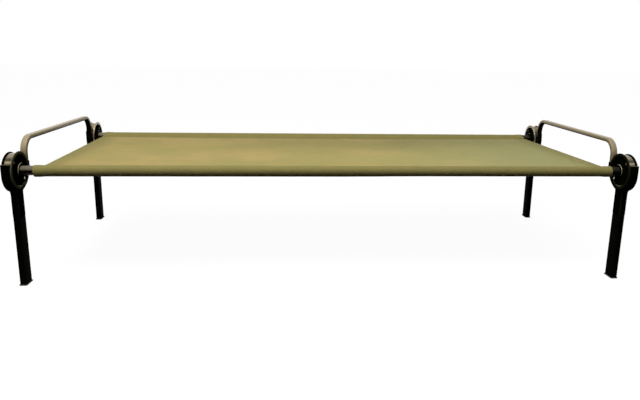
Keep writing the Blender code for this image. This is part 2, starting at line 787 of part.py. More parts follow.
def webMesh():
    bm = bmesh.new()
    edgeY = RAIL_Y - math.sqrt(SLEEVE_BORE**2 - WEB_RISE**2) + FABRIC
    top = []
    bottom = []
    for i in range(WEB_STATIONS + 1):
        x = SLEEVE_END_X * (2 * i / WEB_STATIONS - 1)
        topRow = []
        bottomRow = []
        for j in range(WEB_STRIPS + 1):
            y = edgeY * (2 * j / WEB_STRIPS - 1)
            z = webHeight(x, y)
            topRow.append(bm.verts.new((x, y, z + FABRIC / 2)))
            bottomRow.append(bm.verts.new((x, y, z - FABRIC / 2)))
        top.append(topRow)
        bottom.append(bottomRow)
    for i in range(WEB_STATIONS):
        for j in range(WEB_STRIPS):
            for rows in (top, bottom):
                bm.faces.new((rows[i][j], rows[i + 1][j], rows[i + 1][j + 1], rows[i][j + 1]))
        for j in (0, WEB_STRIPS):
            bm.faces.new((top[i][j], top[i + 1][j], bottom[i + 1][j], bottom[i][j]))
    for i in (0, WEB_STATIONS):
        for j in range(WEB_STRIPS):
            bm.faces.new((top[i][j], top[i][j + 1], bottom[i][j + 1], bottom[i][j]))
    return meshFromBmesh(bm, "web")


def deckMesh():
    tools = []
    for operation, radius, reach in (
        ("UNION", SLEEVE_RADIUS, 0),
        ("DIFFERENCE", SLEEVE_BORE, PASS),
    ):
        for side in (1, -1):
            end = SLEEVE_END_X + reach
            profile = ((-end, 0), (-end, radius), (end, radius), (end, 0))
            cylinder = turnedMesh(profile, RAIL_STEPS, "X")
            tools.append((operation, shifted(cylinder, (0, side * RAIL_Y, RAIL_HEIGHT))))
    return combined(webMesh(), tools)


# Assembly

def addCorner(prefix, sideX, sideY, railAxis, frame, materials):
    centre = Vector((0, sideY * RAIL_Y, RAIL_HEIGHT))

    def add(name, mesh, material, parent):
        copy = mirrored(mesh, sideX, sideY)
        addPiece(f"{prefix}_{name}", shifted(copy, centre), materials[material], parent)

    add("disc_flange", flangeMesh(), "moulding", railAxis)
    add("disc_hub", hubMesh(), "hub", railAxis)
    for label, place in discScrewPlaces().items():
        add(f"disc_screw_{label}", discScrewMesh(place), "screw", railAxis)
    add("leg_head", headMesh(), "moulding", frame)
    add("leg_tube", legTubeMesh(), "frame", frame)
    add("leg_screw", legScrewMesh(), "screw", frame)
    add("foot_cap", footMesh(), "rubber", frame)
    add("bar_bolt", barBoltMesh(), "moulding", frame)


def makeMaterials():
    return {
        "fabric": makeMaterial("deck_canvas", (0.33, 0.30, 0.13), 0.9, 0.0),
        "frame": makeMaterial("black_paint", (0.02, 0.02, 0.018), 0.35, 0.3),
        "moulding": makeMaterial("black_moulding", (0.015, 0.016, 0.012), 0.4, 0.0),
        "hub": makeMaterial("hub_moulding", (0.03, 0.028, 0.02), 0.22, 0.2),
        "steel": makeMaterial("plain_steel", (0.5, 0.5, 0.48), 0.35, 1.0),
        "spring": makeMaterial("spring_steel", (0.35, 0.35, 0.36), 0.3, 1.0),
        "screw": makeMaterial("screw_zinc", (0.75, 0.68, 0.5), 0.3, 1.0),
        "rubber": makeMaterial("foot_rubber", (0.05, 0.05, 0.05), 0.7, 0.0),
    }


def main():
    clearScene()
    materials = makeMaterials()
    deck = addEmpty("deck", (0, 0, 0))
    rails = {}
    for side, sideY in (("front", -1), ("rear", 1)):
        rails[side] = addEmpty(f"{side}_rail_axis", (0, sideY * RAIL_Y, RAIL_HEIGHT), deck)
        addRail(side, sideY, rails[side], materials)
    addPiece("deck_fabric", deckMesh(), materials["fabric"], deck)
    for end, sideX in (("left", -1), ("right", 1)):
        frame = addEmpty(f"{end}_end_frame", (sideX * BAR_X, 0, RAIL_HEIGHT), deck)
        bar = mirrored(barMesh(), sideX, 1)
        addPiece(f"{end}_end_bar", bar, materials["frame"], frame)
        for side, sideY in (("front", -1), ("rear", 1)):
            addCorner(f"{side}_{end}", sideX, sideY, rails[side], frame, materials)


main()
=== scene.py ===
import json
import math

import bmesh
import bpy
from mathutils import Matrix, Vector, noise


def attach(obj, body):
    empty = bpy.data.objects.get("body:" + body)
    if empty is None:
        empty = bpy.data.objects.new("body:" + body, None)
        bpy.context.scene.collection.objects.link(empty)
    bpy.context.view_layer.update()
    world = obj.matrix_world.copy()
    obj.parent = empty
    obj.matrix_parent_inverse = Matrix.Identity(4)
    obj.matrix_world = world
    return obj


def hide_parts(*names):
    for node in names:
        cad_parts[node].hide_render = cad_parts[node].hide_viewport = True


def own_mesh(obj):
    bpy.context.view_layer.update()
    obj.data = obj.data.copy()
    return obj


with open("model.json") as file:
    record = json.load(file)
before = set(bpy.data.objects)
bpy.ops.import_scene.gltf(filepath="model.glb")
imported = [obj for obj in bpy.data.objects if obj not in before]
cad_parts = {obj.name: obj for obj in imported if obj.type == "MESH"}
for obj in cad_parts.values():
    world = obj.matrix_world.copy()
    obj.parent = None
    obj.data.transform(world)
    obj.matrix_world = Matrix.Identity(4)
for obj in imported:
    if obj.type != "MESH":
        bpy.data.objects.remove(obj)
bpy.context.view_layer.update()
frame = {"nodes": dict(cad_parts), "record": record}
print("frame loaded:", len(frame["nodes"]), "CAD nodes")


# Camera and light

cameraView = {
    "place": (-0.1349, -2.2762, 0.7843),
    "yaw": 0.0740,
    "pitch": 0.2163,
    "roll": 0.0167,
    "lens": 32.265,
    "sensor": 36,
    "shift": (-0.01937, -0.03563),
}
# Azimuths are degrees round from the front, minus is to the left
lamps = {
    "keyPanel": {"kind": "AREA", "power": 136, "size": 1.7, "distance": 4.0, "elevation": 57, "azimuth": -25},
    "topSun": {"kind": "SUN", "power": 0.9, "softness": 40, "distance": 3.0, "elevation": 86, "azimuth": 0},
}
studio = {
    "aimHeight": 0.39,
    "ambient": 0.02,
    "ambientTint": (1, 0.99, 0.96, 1),
    "floorGlow": 0.965,
    "floorShadow": 0.07,
    "floorBounce": 0.03,
    "floorSize": 24,
    "floorZ": -0.0002,
    "cardBlack": 0.002,
}
# Black cards that only mirrored rays meet: the dark side of the room in front of the bed
cards = {
    "frontFlag": ((-8, -3.6, 0), (8, -3.6, 0), (8, -3.6, 2.6), (-8, -3.6, 2.6)),
    "floorFlag": ((-8, -3.6, 0.0002), (8, -3.6, 0.0002), (8, -0.62, 0.0002), (-8, -0.62, 0.0002)),
}


def addObject(name, data):
    thing = bpy.data.objects.new(name, data)
    bpy.context.scene.collection.objects.link(thing)
    return thing


def setSocket(tree, socket, value):
    if isinstance(value, bpy.types.NodeSocket):
        tree.links.new(value, socket)
    else:
        socket.default_value = value


def addNode(tree, kind, inputs=None, **settings):
    node = tree.nodes.new(kind if kind.startswith("Node") else "ShaderNode" + kind)
    for key, value in settings.items():
        setattr(node, key, value)
    for key, value in (inputs or {}).items():
        setSocket(tree, node.inputs[key], value)
    return node


def addMath(tree, operation, *values, clamp=False):
    return addNode(tree, "Math", dict(enumerate(values)), operation=operation, use_clamp=clamp).outputs[0]


def addRange(tree, value, low, high, given=(0.0, 1.0), kind="LINEAR"):
    # The value, moved from the given range to low and high
    inputs = {"Value": value, "From Min": given[0], "From Max": given[1], "To Min": low, "To Max": high}
    return addNode(tree, "MapRange", inputs, interpolation_type=kind).outputs[0]


def emptyTree(holder):
    holder.use_nodes = True
    holder.node_tree.nodes.clear()
    return holder.node_tree


def diffuse(tree, level):
    return addNode(tree, "BsdfDiffuse", {"Color": (level, level, level, 1)}).outputs[0]


def addCamera(view):
    yaw, pitch, roll = view["yaw"], view["pitch"], view["roll"]
    right = Vector((math.cos(yaw), -math.sin(yaw), 0))
    ahead = Vector((math.sin(yaw) * math.cos(pitch), math.cos(yaw) * math.cos(pitch), -math.sin(pitch)))
    up = right.cross(ahead)
    across = right * math.cos(roll) + up * math.sin(roll)
    above = up * math.cos(roll) - right * math.sin(roll)
    data = bpy.data.cameras.new("photoCamera")
    data.lens = view["lens"]
    data.sensor_width = view["sensor"]
    data.shift_x, data.shift_y = view["shift"]
    camera = addObject("photoCamera", data)
    turned = Matrix((across, above, -ahead)).transposed().to_4x4()
    camera.matrix_world = Matrix.Translation(view["place"]) @ turned
    bpy.context.scene.camera = camera


def addLamp(name, look):
    data = bpy.data.lights.new(name, look["kind"])
    data.energy = look["power"]
    if look["kind"] == "SUN":
        data.angle = math.radians(look["softness"])
    else:
        data.size = look["size"]
    tilt, turn = math.radians(look["elevation"]), math.radians(look["azimuth"])
    towards = Vector((math.sin(turn) * math.cos(tilt), -math.cos(turn) * math.cos(tilt), math.sin(tilt)))
    lamp = addObject(name, data)
    lamp.rotation_euler = towards.to_track_quat("Z", "Y").to_euler()
    lamp.location = Vector((0, 0, studio["aimHeight"])) + towards * look["distance"]


def seenRays(tree):
    # 1 for the rays that look at the backdrop: straight, mirrored or through glass
    paths = addNode(tree, "LightPath").outputs
    both = addMath(tree, "MAXIMUM", paths["Is Camera Ray"], paths["Is Glossy Ray"])
    return addMath(tree, "MAXIMUM", both, paths["Is Transmission Ray"])


def addWorld(values):
    world = bpy.data.worlds.new("studio")
    bpy.context.scene.world = world
    tree = emptyTree(world)
    fill = addNode(tree, "Background", {"Color": values["ambientTint"], "Strength": values["ambient"]})
    white = addNode(tree, "Background", {"Color": (1, 1, 1, 1), "Strength": 1.0})
    mix = addNode(tree, "MixShader", {0: seenRays(tree), 1: fill.outputs[0], 2: white.outputs[0]})
    addNode(tree, "OutputWorld", {0: mix.outputs[0]})


def addFloor(values):
    bm = bmesh.new()
    bmesh.ops.create_grid(bm, x_segments=8, y_segments=8, size=values["floorSize"])
    mesh = bpy.data.meshes.new("floor")
    bm.to_mesh(mesh)
    bm.free()
    material = bpy.data.materials.new("paleFloor")
    tree = emptyTree(material)
    glow = addNode(tree, "Emission", {"Color": (1, 1, 1, 1), "Strength": values["floorGlow"]}).outputs[0]
    seen = addNode(tree, "AddShader", {0: glow, 1: diffuse(tree, values["floorShadow"])}).outputs[0]
    bounce = diffuse(tree, values["floorBounce"])
    mix = addNode(tree, "MixShader", {0: seenRays(tree), 1: bounce, 2: seen})
    addNode(tree, "OutputMaterial", {0: mix.outputs[0]})
    mesh.materials.append(material)
    floor = addObject("floor", mesh)
    floor.location.z = values["floorZ"]


def addCard(name, outline):
    mesh = bpy.data.meshes.new(name)
    mesh.from_pydata(outline, [], [(0, 1, 2, 3)])
    material = bpy.data.materials.new(name)
    tree = emptyTree(material)
    addNode(tree, "OutputMaterial", {0: diffuse(tree, studio["cardBlack"])})
    mesh.materials.append(material)
    card = addObject(name, mesh)
    card.visible_camera = False
    card.visible_diffuse = False
    card.visible_transmission = False
    card.visible_shadow = False


bpy.context.scene.view_settings.view_transform = "Standard"
addCamera(cameraView)
for name, look in lamps.items():
    addLamp(name, look)
addWorld(studio)
addFloor(studio)
for name, outline in cards.items():
    addCard(name, outline)
print("camera, floor and light set")


# Shader groups that several finishes share

def newGroup(name, inputs, outputs):
    group = bpy.data.node_groups.new(name, "ShaderNodeTree")
    for label, kind, value in inputs:
        socket = group.interface.new_socket(name=label, in_out="INPUT", socket_type="NodeSocket" + kind)
        if value is not None:
            socket.default_value = value
    for label in outputs:
        group.interface.new_socket(name=label, in_out="OUTPUT", socket_type="NodeSocketFloat")
    return group, addNode(group, "NodeGroupInput").outputs


def buildWeave():
    # Plain weave: each thread goes over one and under the next, in the cloth's own flat coordinates
    inputs = [("Vector", "Vector", None), ("Pitch", "Float", 0.0011)]
    group, given = newGroup("plainWeave", inputs, ["Height", "Shade"])
    split = addNode(group, "SeparateXYZ", {0: given["Vector"]}).outputs
    waves = []
    for axis in ("X", "Y"):
        turns = addMath(group, "DIVIDE", split[axis], given["Pitch"])
        waves.append(addMath(group, "SINE", addMath(group, "MULTIPLY", turns, math.pi)))
    over = addMath(group, "GREATER_THAN", addMath(group, "MULTIPLY", *waves), 0.0)
    warp, weft = [addMath(group, "ABSOLUTE", wave) for wave in waves]
    raised = addMath(group, "MULTIPLY", warp, addMath(group, "MULTIPLY_ADD", weft, 0.5, 0.5))
    lower = addMath(group, "MULTIPLY", weft, addMath(group, "MULTIPLY_ADD", warp, 0.5, 0.5))
    mix = addNode(group, "Mix", {"Factor": over, "A": lower, "B": raised}, data_type="FLOAT")
    height = mix.outputs["Result"]
    addNode(group, "NodeGroupOutput", {"Height": height, "Shade": addRange(group, height, 0.88, 1.05)})
    return group


def buildPatches():
    # Slow, soft change over a surface, such as dye, handling or dust
    inputs = [("Vector", "Vector", None), ("Scale", "Float", 3.0), ("Detail", "Float", 2.0)]
    inputs += [("Low", "Float", 0.35), ("High", "Float", 0.65)]
    group, given = newGroup("softPatches", inputs, ["Mask"])
    texture = addNode(group, "TexNoise", {key: given[key] for key in ("Vector", "Scale", "Detail")})
    mask = addRange(group, texture.outputs[0], 0.0, 1.0, (given["Low"], given["High"]), "SMOOTHSTEP")
    addNode(group, "NodeGroupOutput", {"Mask": mask})
    return group


def buildGrain():
    # Fine grain, drawn out along one axis where Stretch says so
    inputs = [("Vector", "Vector", None), ("Scale", "Float", 900.0), ("Stretch", "Vector", (1, 1, 1))]
    group, given = newGroup("fineGrain", inputs, ["Height", "Mask"])
    scaled = addNode(group, "VectorMath", {0: given["Vector"], 1: given["Stretch"]}, operation="MULTIPLY")
    noiseInputs = {"Vector": scaled.outputs[0], "Scale": given["Scale"], "Detail": 3.0}
    height = addNode(group, "TexNoise", noiseInputs).outputs[0]
    mask = addRange(group, height, 0.0, 1.0, (0.3, 0.7))
    addNode(group, "NodeGroupOutput", {"Height": height, "Mask": mask})
    return group


def buildRubbedEdges():
    # Bare, paler edges where a rounded normal leaves the true one
    inputs = [("Vector", "Vector", None), ("Radius", "Float", 0.0012), ("Amount", "Float", 0.6)]
    group, given = newGroup("rubbedEdges", inputs, ["Mask"])
    rounded = addNode(group, "Bevel", {"Radius": given["Radius"]}, samples=6).outputs[0]
    real = addNode(group, "NewGeometry").outputs["Normal"]
    dot = addNode(group, "VectorMath", {0: rounded, 1: real}, operation="DOT_PRODUCT").outputs["Value"]
    lost = addMath(group, "SUBTRACT", 1.0, dot)
    texture = addNode(group, "TexNoise", {"Vector": given["Vector"], "Scale": 160.0, "Detail": 3.0})
    broken = addMath(group, "MULTIPLY", lost, addMath(group, "MULTIPLY", texture.outputs[0], 16.0))
    mask = addMath(group, "MULTIPLY", addMath(group, "MINIMUM", broken, 1.0), given["Amount"], clamp=True)
    addNode(group, "NodeGroupOutput", {"Mask": mask})
    return group


weaveGroup = buildWeave()
patchGroup = buildPatches()
grainGroup = buildGrain()
edgeGroup = buildRubbedEdges()


def addGroup(tree, group, inputs):
    return addNode(tree, "Group", inputs, node_tree=group).outputs


def mixColour(tree, factor, first, second, blend="MIX"):
    first, second = [(*value, 1) if isinstance(value, tuple) else value for value in (first, second)]
    inputs = {0: factor, 6: first, 7: second}
    return addNode(tree, "Mix", inputs, data_type="RGBA", blend_type=blend).outputs[2]


def attribute(tree, name):
    return addNode(tree, "Attribute", attribute_name=name).outputs["Fac"]


def newFinish(name, plain):
    # A material with its plain sockets set, its nodes, and the place on the object
    material = bpy.data.materials.new(name)
    material.use_nodes = True
    tree = material.node_tree
    for key, value in plain.items():
        tree.nodes["Principled BSDF"].inputs[key].default_value = value
    return material, tree, addNode(tree, "TexCoord").outputs["Object"]


def wireFinish(material, colour, rough, height, depth, strength):
    tree = material.node_tree
    bump = addNode(tree, "Bump", {"Height": height, "Distance": depth, "Strength": strength}).outputs[0]
    for key, value in (("Base Color", colour), ("Roughness", rough), ("Normal", bump)):
        tree.links.new(value, tree.nodes["Principled BSDF"].inputs[key])
    return material


# Canvas and thread

canvasLook = {
    "olive": (0.425, 0.368, 0.123),
    "green": (0.435, 0.428, 0.178),  # towards the right-hand end
    "tan": (0.515, 0.402, 0.145),
    "backedShade": (0.268, 0.232, 0.074),  # painted shade where a second layer or the rail lies behind the cloth
    "pitch": 0.0011,
    "weaveDepth": 0.00022,
    "patchScale": 3.4,
    "spotScale": 26.0,
    "spots": (0.93, 1.06),
    "rough": (0.78, 0.92),
    "plain": {
        "Metallic": 0.0,
        "Specular IOR Level": 0.22,
        "Sheen Weight": 0.55,
        "Sheen Roughness": 0.42,
        "Sheen Tint": (1.0, 0.80, 0.46, 1),
    },
}
threadLook = {
    "dark": (0.17, 0.15, 0.055),
    "light": (0.27, 0.24, 0.10),
    "rough": (0.6, 0.8),
    "plain": {"Specular IOR Level": 0.3, "Sheen Weight": 0.3},
}


def makeCanvas(look):
    material, tree, place = newFinish("deckCanvas", look["plain"])
    flat = addNode(tree, "UVMap", uv_map="clothFlat").outputs[0]
    weave = addGroup(tree, weaveGroup, {"Vector": flat, "Pitch": look["pitch"]})
    slow = {"Vector": place, "Scale": look["patchScale"], "Low": 0.38, "High": 0.62}
    small = {"Vector": place, "Scale": look["spotScale"], "Detail": 4.0, "Low": 0.25, "High": 0.8}
    patches = addGroup(tree, patchGroup, slow)["Mask"]
    spots = addGroup(tree, patchGroup, small)["Mask"]
    along = addNode(tree, "SeparateXYZ", {0: place}).outputs["X"]
    drift = addRange(tree, along, 0.0, 1.0, kind="SMOOTHSTEP")
    colour = mixColour(tree, patches, look["olive"], look["tan"])
    colour = mixColour(tree, drift, colour, look["green"])
    # Painted shade where a second layer or the rail lies behind the cloth
    colour = mixColour(tree, attribute(tree, "backingShade"), colour, look["backedShade"])
    shade = addMath(tree, "MULTIPLY", weave["Shade"], addRange(tree, spots, *look["spots"]))
    # Painted light and shade over soft areas of the web
    shade = addMath(tree, "MULTIPLY", shade, attribute(tree, "paintedLightShade"))
    grey = addNode(tree, "CombineColor", {0: shade, 1: shade, 2: shade}).outputs[0]
    colour = mixColour(tree, 1.0, colour, grey, "MULTIPLY")
    rough = addRange(tree, spots, *look["rough"])
    return wireFinish(material, colour, rough, weave["Height"], look["weaveDepth"], 0.8)


def makeThread(look):
    material, tree, place = newFinish("canvasThread", look["plain"])
    grain = addGroup(tree, grainGroup, {"Vector": place, "Scale": 1500.0, "Stretch": (1, 3, 3)})
    colour = mixColour(tree, grain["Mask"], look["dark"], look["light"])
    rough = addRange(tree, grain["Mask"], *look["rough"])
    return wireFinish(material, colour, rough, grain["Height"], 0.0001, 1.0)


# Paint, mouldings, metal and rubber

paintLook = {"worn": (0.05, 0.045, 0.035), "grain": 1400.0, "depth": 0.00003, "wear": 0.30}
mouldingLook = {
    "base": (0.0014, 0.0015, 0.0008),
    "dusty": (0.0045, 0.0046, 0.0026),
    "worn": (0.050, 0.047, 0.026),
    "rough": (0.20, 0.32),
    "grain": 1100.0,
}
metalLook = {"depth": 0.00002, "wear": 0.4, "plain": {"Metallic": 1.0}}
rolledLook = {**metalLook, "stretch": (0.1, 1, 1)}
# Each look's pale colour is a painted highlight or reflection
hardLooks = {
    "black_paint": {
        **paintLook,
        "base": (0.0045, 0.0045, 0.0032),
        "dusty": (0.011, 0.0105, 0.008),
        "rough": (0.24, 0.36),
        "paintedLight": (0.32, 0.270, 0.185),
        "plain": {"Specular IOR Level": 0.2, "Specular Tint": (1.0, 0.90, 0.72, 1)},
    },
    "bar_paint": {
        **paintLook,
        "base": (0.0030, 0.0030, 0.0022),
        "dusty": (0.008, 0.0078, 0.006),
        "rough": (0.26, 0.40),
        "wear": 0.20,
        "paintedLight": (0.345, 0.278, 0.160),
        "gloss": 0.30,
        "plain": {"Specular IOR Level": 0.0, "Specular Tint": (1.0, 0.90, 0.74, 1)},
    },
    "leg_paint": {
        **paintLook,
        "base": (0.0016, 0.0016, 0.0010),
        "dusty": (0.0042, 0.0042, 0.0028),
        "worn": (0.020, 0.018, 0.013),
        "rough": (0.42, 0.58),
        "plain": {"Specular IOR Level": 0.002},
    },
    "black_moulding": {
        **mouldingLook,
        "depth": 0.00005,
        "wear": 0.45,
        "paintedLight": (0.33, 0.34, 0.19),
        "gloss": 0.8,
        "plain": {"Specular IOR Level": 0.0, "Specular Tint": (1.0, 0.93, 0.75, 1)},
    },
    # A lit copy of the black moulding for the rear flanges: paler painted highlights and stronger reflections
    "rear_moulding": {
        **mouldingLook,
        "depth": 0.00003,
        "wear": 0.2,
        "paintedLight": (0.42, 0.34, 0.20),
        "gloss": 0.9,
        "plain": {"IOR": 1.9, "Specular IOR Level": 0.0, "Specular Tint": (1.0, 0.88, 0.66, 1)},
    },
    "hub_moulding": {
        "base": (0.006, 0.0045, 0.0022),
        "dusty": (0.016, 0.012, 0.006),
        "worn": (0.16, 0.13, 0.08),
        "rough": (0.10, 0.20),
        "grain": 700.0,
        "stretch": (6, 1, 1),
        "depth": 0.00004,
        "wear": 0.5,
        "paintedLight": (0.42, 0.33, 0.19),
        "gloss": 0.6,
        "plain": {"Specular IOR Level": 0.02, "Specular Tint": (1.0, 0.88, 0.66, 1)},
    },
    "plain_steel": {
        **rolledLook,
        "base": (0.55, 0.54, 0.51),
        "dusty": (0.40, 0.38, 0.34),
        "worn": (0.72, 0.70, 0.66),
        "rough": (0.26, 0.44),
        "grain": 600.0,
    },
    "spring_steel": {
        **rolledLook,
        "base": (0.38, 0.38, 0.40),
        "dusty": (0.28, 0.27, 0.26),
        "worn": (0.55, 0.55, 0.56),
        "rough": (0.24, 0.38),
        "grain": 800.0,
    },
    "screw_zinc": {
        **metalLook,
        "base": (0.62, 0.52, 0.33),
        "dusty": (0.40, 0.33, 0.20),
        "worn": (0.80, 0.74, 0.60),
        "rough": (0.22, 0.38),
        "grain": 1500.0,
        "wear": 0.6,
    },
    # A darker copy of the zinc finish for the upper disc screws: painted shade
    "screw_dark": {
        **metalLook,
        "base": (0.10, 0.085, 0.055),
        "dusty": (0.06, 0.050, 0.030),
        "worn": (0.25, 0.22, 0.15),
        "rough": (0.30, 0.45),
        "grain": 1500.0,
        "wear": 0.3,
    },
    "foot_rubber": {
        "base": (0.016, 0.016, 0.015),
        "dusty": (0.060, 0.058, 0.052),
        "worn": (0.10, 0.098, 0.09),
        "rough": (0.62, 0.85),
        "grain": 800.0,
        "depth": 0.0001,
        "wear": 0.5,
        "plain": {"Specular IOR Level": 0.3},
    },
}


def makeHardFinish(slot, look):
    words = slot.split("_")
    material, tree, place = newFinish(words[0] + words[1].capitalize(), look["plain"])
    grainInputs = {"Vector": place, "Scale": look["grain"], "Stretch": look.get("stretch", (1, 1, 1))}
    grain = addGroup(tree, grainGroup, grainInputs)
    dustInputs = {"Vector": place, "Scale": 14.0, "Detail": 5.0, "Low": 0.42, "High": 0.72}
    dust = addGroup(tree, patchGroup, dustInputs)["Mask"]
    edges = addGroup(tree, edgeGroup, {"Vector": place, "Amount": look["wear"]})["Mask"]
    colour = mixColour(tree, dust, look["base"], look["dusty"])
    colour = mixColour(tree, edges, colour, look["worn"])
    if "paintedLight" in look:
        # Painted highlights and reflections, mixed in as a pale colour where the attribute says
        colour = mixColour(tree, attribute(tree, "paintedLight"), colour, look["paintedLight"])
    blend = addMath(tree, "MULTIPLY_ADD", grain["Mask"], 0.5, addMath(tree, "MULTIPLY", dust, 0.5))
    rough = addRange(tree, blend, *look["rough"])
    return wireFinish(material, colour, rough, grain["Height"], look["depth"], 0.6)


finishes = {slot: makeHardFinish(slot, look) for slot, look in hardLooks.items()}
polished = {}
for slot, look in hardLooks.items():
    if "gloss" in look:
        polished[slot] = finishes[slot].copy()
        polished[slot].name = finishes[slot].name + "Polished"
        shader = polished[slot].node_tree.nodes["Principled BSDF"]
        shader.inputs["Specular IOR Level"].default_value = look["gloss"]
finishes["deck_canvas"] = makeCanvas(canvasLook)
threadFinish = makeThread(threadLook)
print("finishes made:", len(finishes) + 1)


# Mesh tools

def markFaces(base, slot, rule, *given):
    # The rule gives each face's share of painted highlight colour, and whether it is polished
    mesh = base.copy()
    paintedLight = mesh.attributes.new("paintedLight", "FLOAT", "FACE")
    mesh.materials.clear()
    mesh.materials.append(finishes[slot])
    mesh.materials.append(polished[slot])
    for face in mesh.polygons:
        paintedLight.data[face.index].value, gloss = rule(face.center, face.normal, *given)
        face.material_index = int(gloss)
    return mesh


def placePiece(name, mesh, body, slot, nodes=(), material=None, sharp=35, bevel=None):
    if not mesh.materials or material:
        mesh.materials.clear()
        mesh.materials.append(material or finishes[slot])
    mesh.shade_smooth()
    mesh.set_sharp_from_angle(angle=math.radians(sharp))
    piece = addObject(name, mesh)
    if bevel:
        rounding = piece.modifiers.new("rounding", "BEVEL")
        rounding.width = bevel
        rounding.segments = 2
        rounding.limit_method = "ANGLE"
        rounding.angle_limit = math.radians(38)
        rounding.use_clamp_overlap = True
        rounding.harden_normals = True
    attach(piece, body)
    if nodes:
        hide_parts(*nodes)
    return piece


def meshFrom(bm, merge=True):
    if merge:
        bmesh.ops.remove_doubles(bm, verts=bm.verts, dist=1e-6)
    bmesh.ops.recalc_face_normals(bm, faces=bm.faces)
    mesh = bpy.data.meshes.new("shape")
    bm.to_mesh(mesh)
    bm.free()
    return mesh


def arcPoints(centre, radius, start, end, steps):
    points = []
    for i in range(steps + 1):
        angle = math.radians(start + (end - start) * i / steps)
        points.append((centre[0] + radius * math.cos(angle), centre[1] + radius * math.sin(angle)))
    return points


def roundedBox(width, height, corner, steps):
    points = []
    for quarter, (sideX, sideY) in enumerate(((1, 1), (-1, 1), (-1, -1), (1, -1))):
        centre = (sideX * (width / 2 - corner), sideY * (height / 2 - corner))
        points += arcPoints(centre, corner, quarter * 90, quarter * 90 + 90, steps)
    return points


def bridgeRings(bm, rings, closed=False):
    made = [[bm.verts.new(point) for point in ring] for ring in rings]
    pairs = list(zip(made, made[1:]))
    if closed:
        pairs.append((made[-1], made[0]))
    for first, second in pairs:
        for j in range(len(first)):
            k = (j + 1) % len(first)
            bm.faces.new((first[j], first[k], second[k], second[j]))
    if not closed:
        bm.faces.new(made[0])
        bm.faces.new(made[-1])


def turnedMesh(profile, steps, axis="X", centre=(0, 0, 0)):
    # The profile is a loop of (place along the axis, radius), from axis to axis or closed on itself
    bm = bmesh.new()
    tiny = 1e-7
    rings = []
    for along, radius in profile:
        ring = []
        for j in range(1 if radius < tiny else steps):
            angle = 2 * math.pi * j / steps
            first, second = radius * math.sin(angle), radius * math.cos(angle)
            offset = {"X": (along, first, second), "Y": (first, along, second), "Z": (first, second, along)}
            ring.append(bm.verts.new(Vector(centre) + Vector(offset[axis])))
        rings.append(ring)
    pairs = list(zip(rings, rings[1:]))
    if min(radius for along, radius in profile) >= tiny:
        pairs.append((rings[-1], rings[0]))
    for first, second in pairs:
        if len(first) == 1 and len(second) == 1:
            continue
        for j in range(steps):
            k = (j + 1) % steps
            if len(first) == 1:
                bm.faces.new((first[0], second[k], second[j]))
            elif len(second) == 1:
                bm.faces.new((first[j], first[k], second[0]))
            else:
                bm.faces.new((first[j], first[k], second[k], second[j]))
    return meshFrom(bm)


def prismMesh(outline, low, high, axis):
    bm = bmesh.new()
    bridgeRings(bm, [[(z, a, b) if axis == "X" else (a, b, z) for a, b in outline] for z in (low, high)])
    return meshFrom(bm)


def cutMesh(base, tools):
    # The base after each (operation, mesh), read back as one mesh
    body = addObject("cutBody", base)
    helpers = []
    for operation, mesh in tools:
        helper = addObject("cutTool", mesh)
        modifier = body.modifiers.new(operation.lower(), "BOOLEAN")
        modifier.operation = operation
        modifier.object = helper
        helpers.append(helper)
    bpy.context.view_layer.update()
    graph = bpy.context.evaluated_depsgraph_get()
    result = bpy.data.meshes.new_from_object(body.evaluated_get(graph))
    for thing in [body, *helpers]:
        bpy.data.objects.remove(thing)
    return result


# Places shared by the pieces, as the frame has them

rig = {
    "railY": 0.3865,
    "railZ": 0.3896,
    "railRadius": 0.0159,
    "legX": 1.0288,
    "barX": 1.02545,
}
corners = [
    (f"{side}_{end}", sideX, sideY, f"{side}_rail", f"{end}_end_frame")
    for side, sideY in (("front", -1), ("rear", 1))
    for end, sideX in (("left", -1), ("right", 1))
]


def toCorner(mesh, sideX, sideY):
    # From the corner's own frame (out along the rail, out from the bed, up) to the bed's
    copy = mesh.copy()
    move = Matrix.Translation((0, sideY * rig["railY"], rig["railZ"]))
    copy.transform(move @ Matrix.Diagonal((sideX, sideY, 1, 1)))
    if sideX * sideY < 0:
        copy.flip_normals()
    return copy


def pieceName(prefix, word):
    side, end = prefix.split("_")
    return side + end.capitalize() + word


def railNode(prefix, word):
    return prefix.replace("_", f"_{word}_")


def placeAtCorner(corner, word, mesh, body, slot, node, material=None, bevel=None):
    prefix, sideX, sideY = corner
    placed = toCorner(mesh, sideX, sideY)
    return placePiece(pieceName(prefix, word), placed, body, slot, (node,), material, bevel=bevel)


# Deck: one sheet, its long edges sewn back round the rails, its ends hemmed

deck = {
    "endX": 0.980,
    # (y, how far the cloth sits to the right there)
    "shifts": ((-0.3865, 0.0062), (-0.30, 0.0130), (0.36, -0.004), (0.3865, -0.0035)),
    "setBack": 0.0082,  # how much sooner the sleeves end than the web
    "setBackFrom": 0.85,
    "setBackLength": 0.12,
    "sleeveRadius": 0.0166,
    "slack": 0.0026,  # how far the sleeve hangs below the rail
    "slackLoss": 0.55,  # share of it that is lost towards the right
    "slackFade": 0.35,
    "flare": 0.0012,
    "flareLength": 0.036,
    "seamInset": 0.0210,
    "seamRise": 0.0010,
    "allowance": 0.016,
    "layer": 0.0011,
    "hem": 0.044,
    "hemShade": 0.70,
    "hemShadeLength": 0.11,
    "foldShade": 0.95,  # painted shade where the rear seam's allowance lies behind the web
    "foldReach": 0.020,
    "foldReachMiddle": 0.020,
    "foldFade": 0.006,
    "seamFade": 0.010,
    "sag": 0.006,
    "ripple": 0.0006,
    "sleeveRipple": 0.00035,
    "thickness": 0.0007,
    "step": 0.0085,
}
webEdge = rig["railY"] - deck["seamInset"]
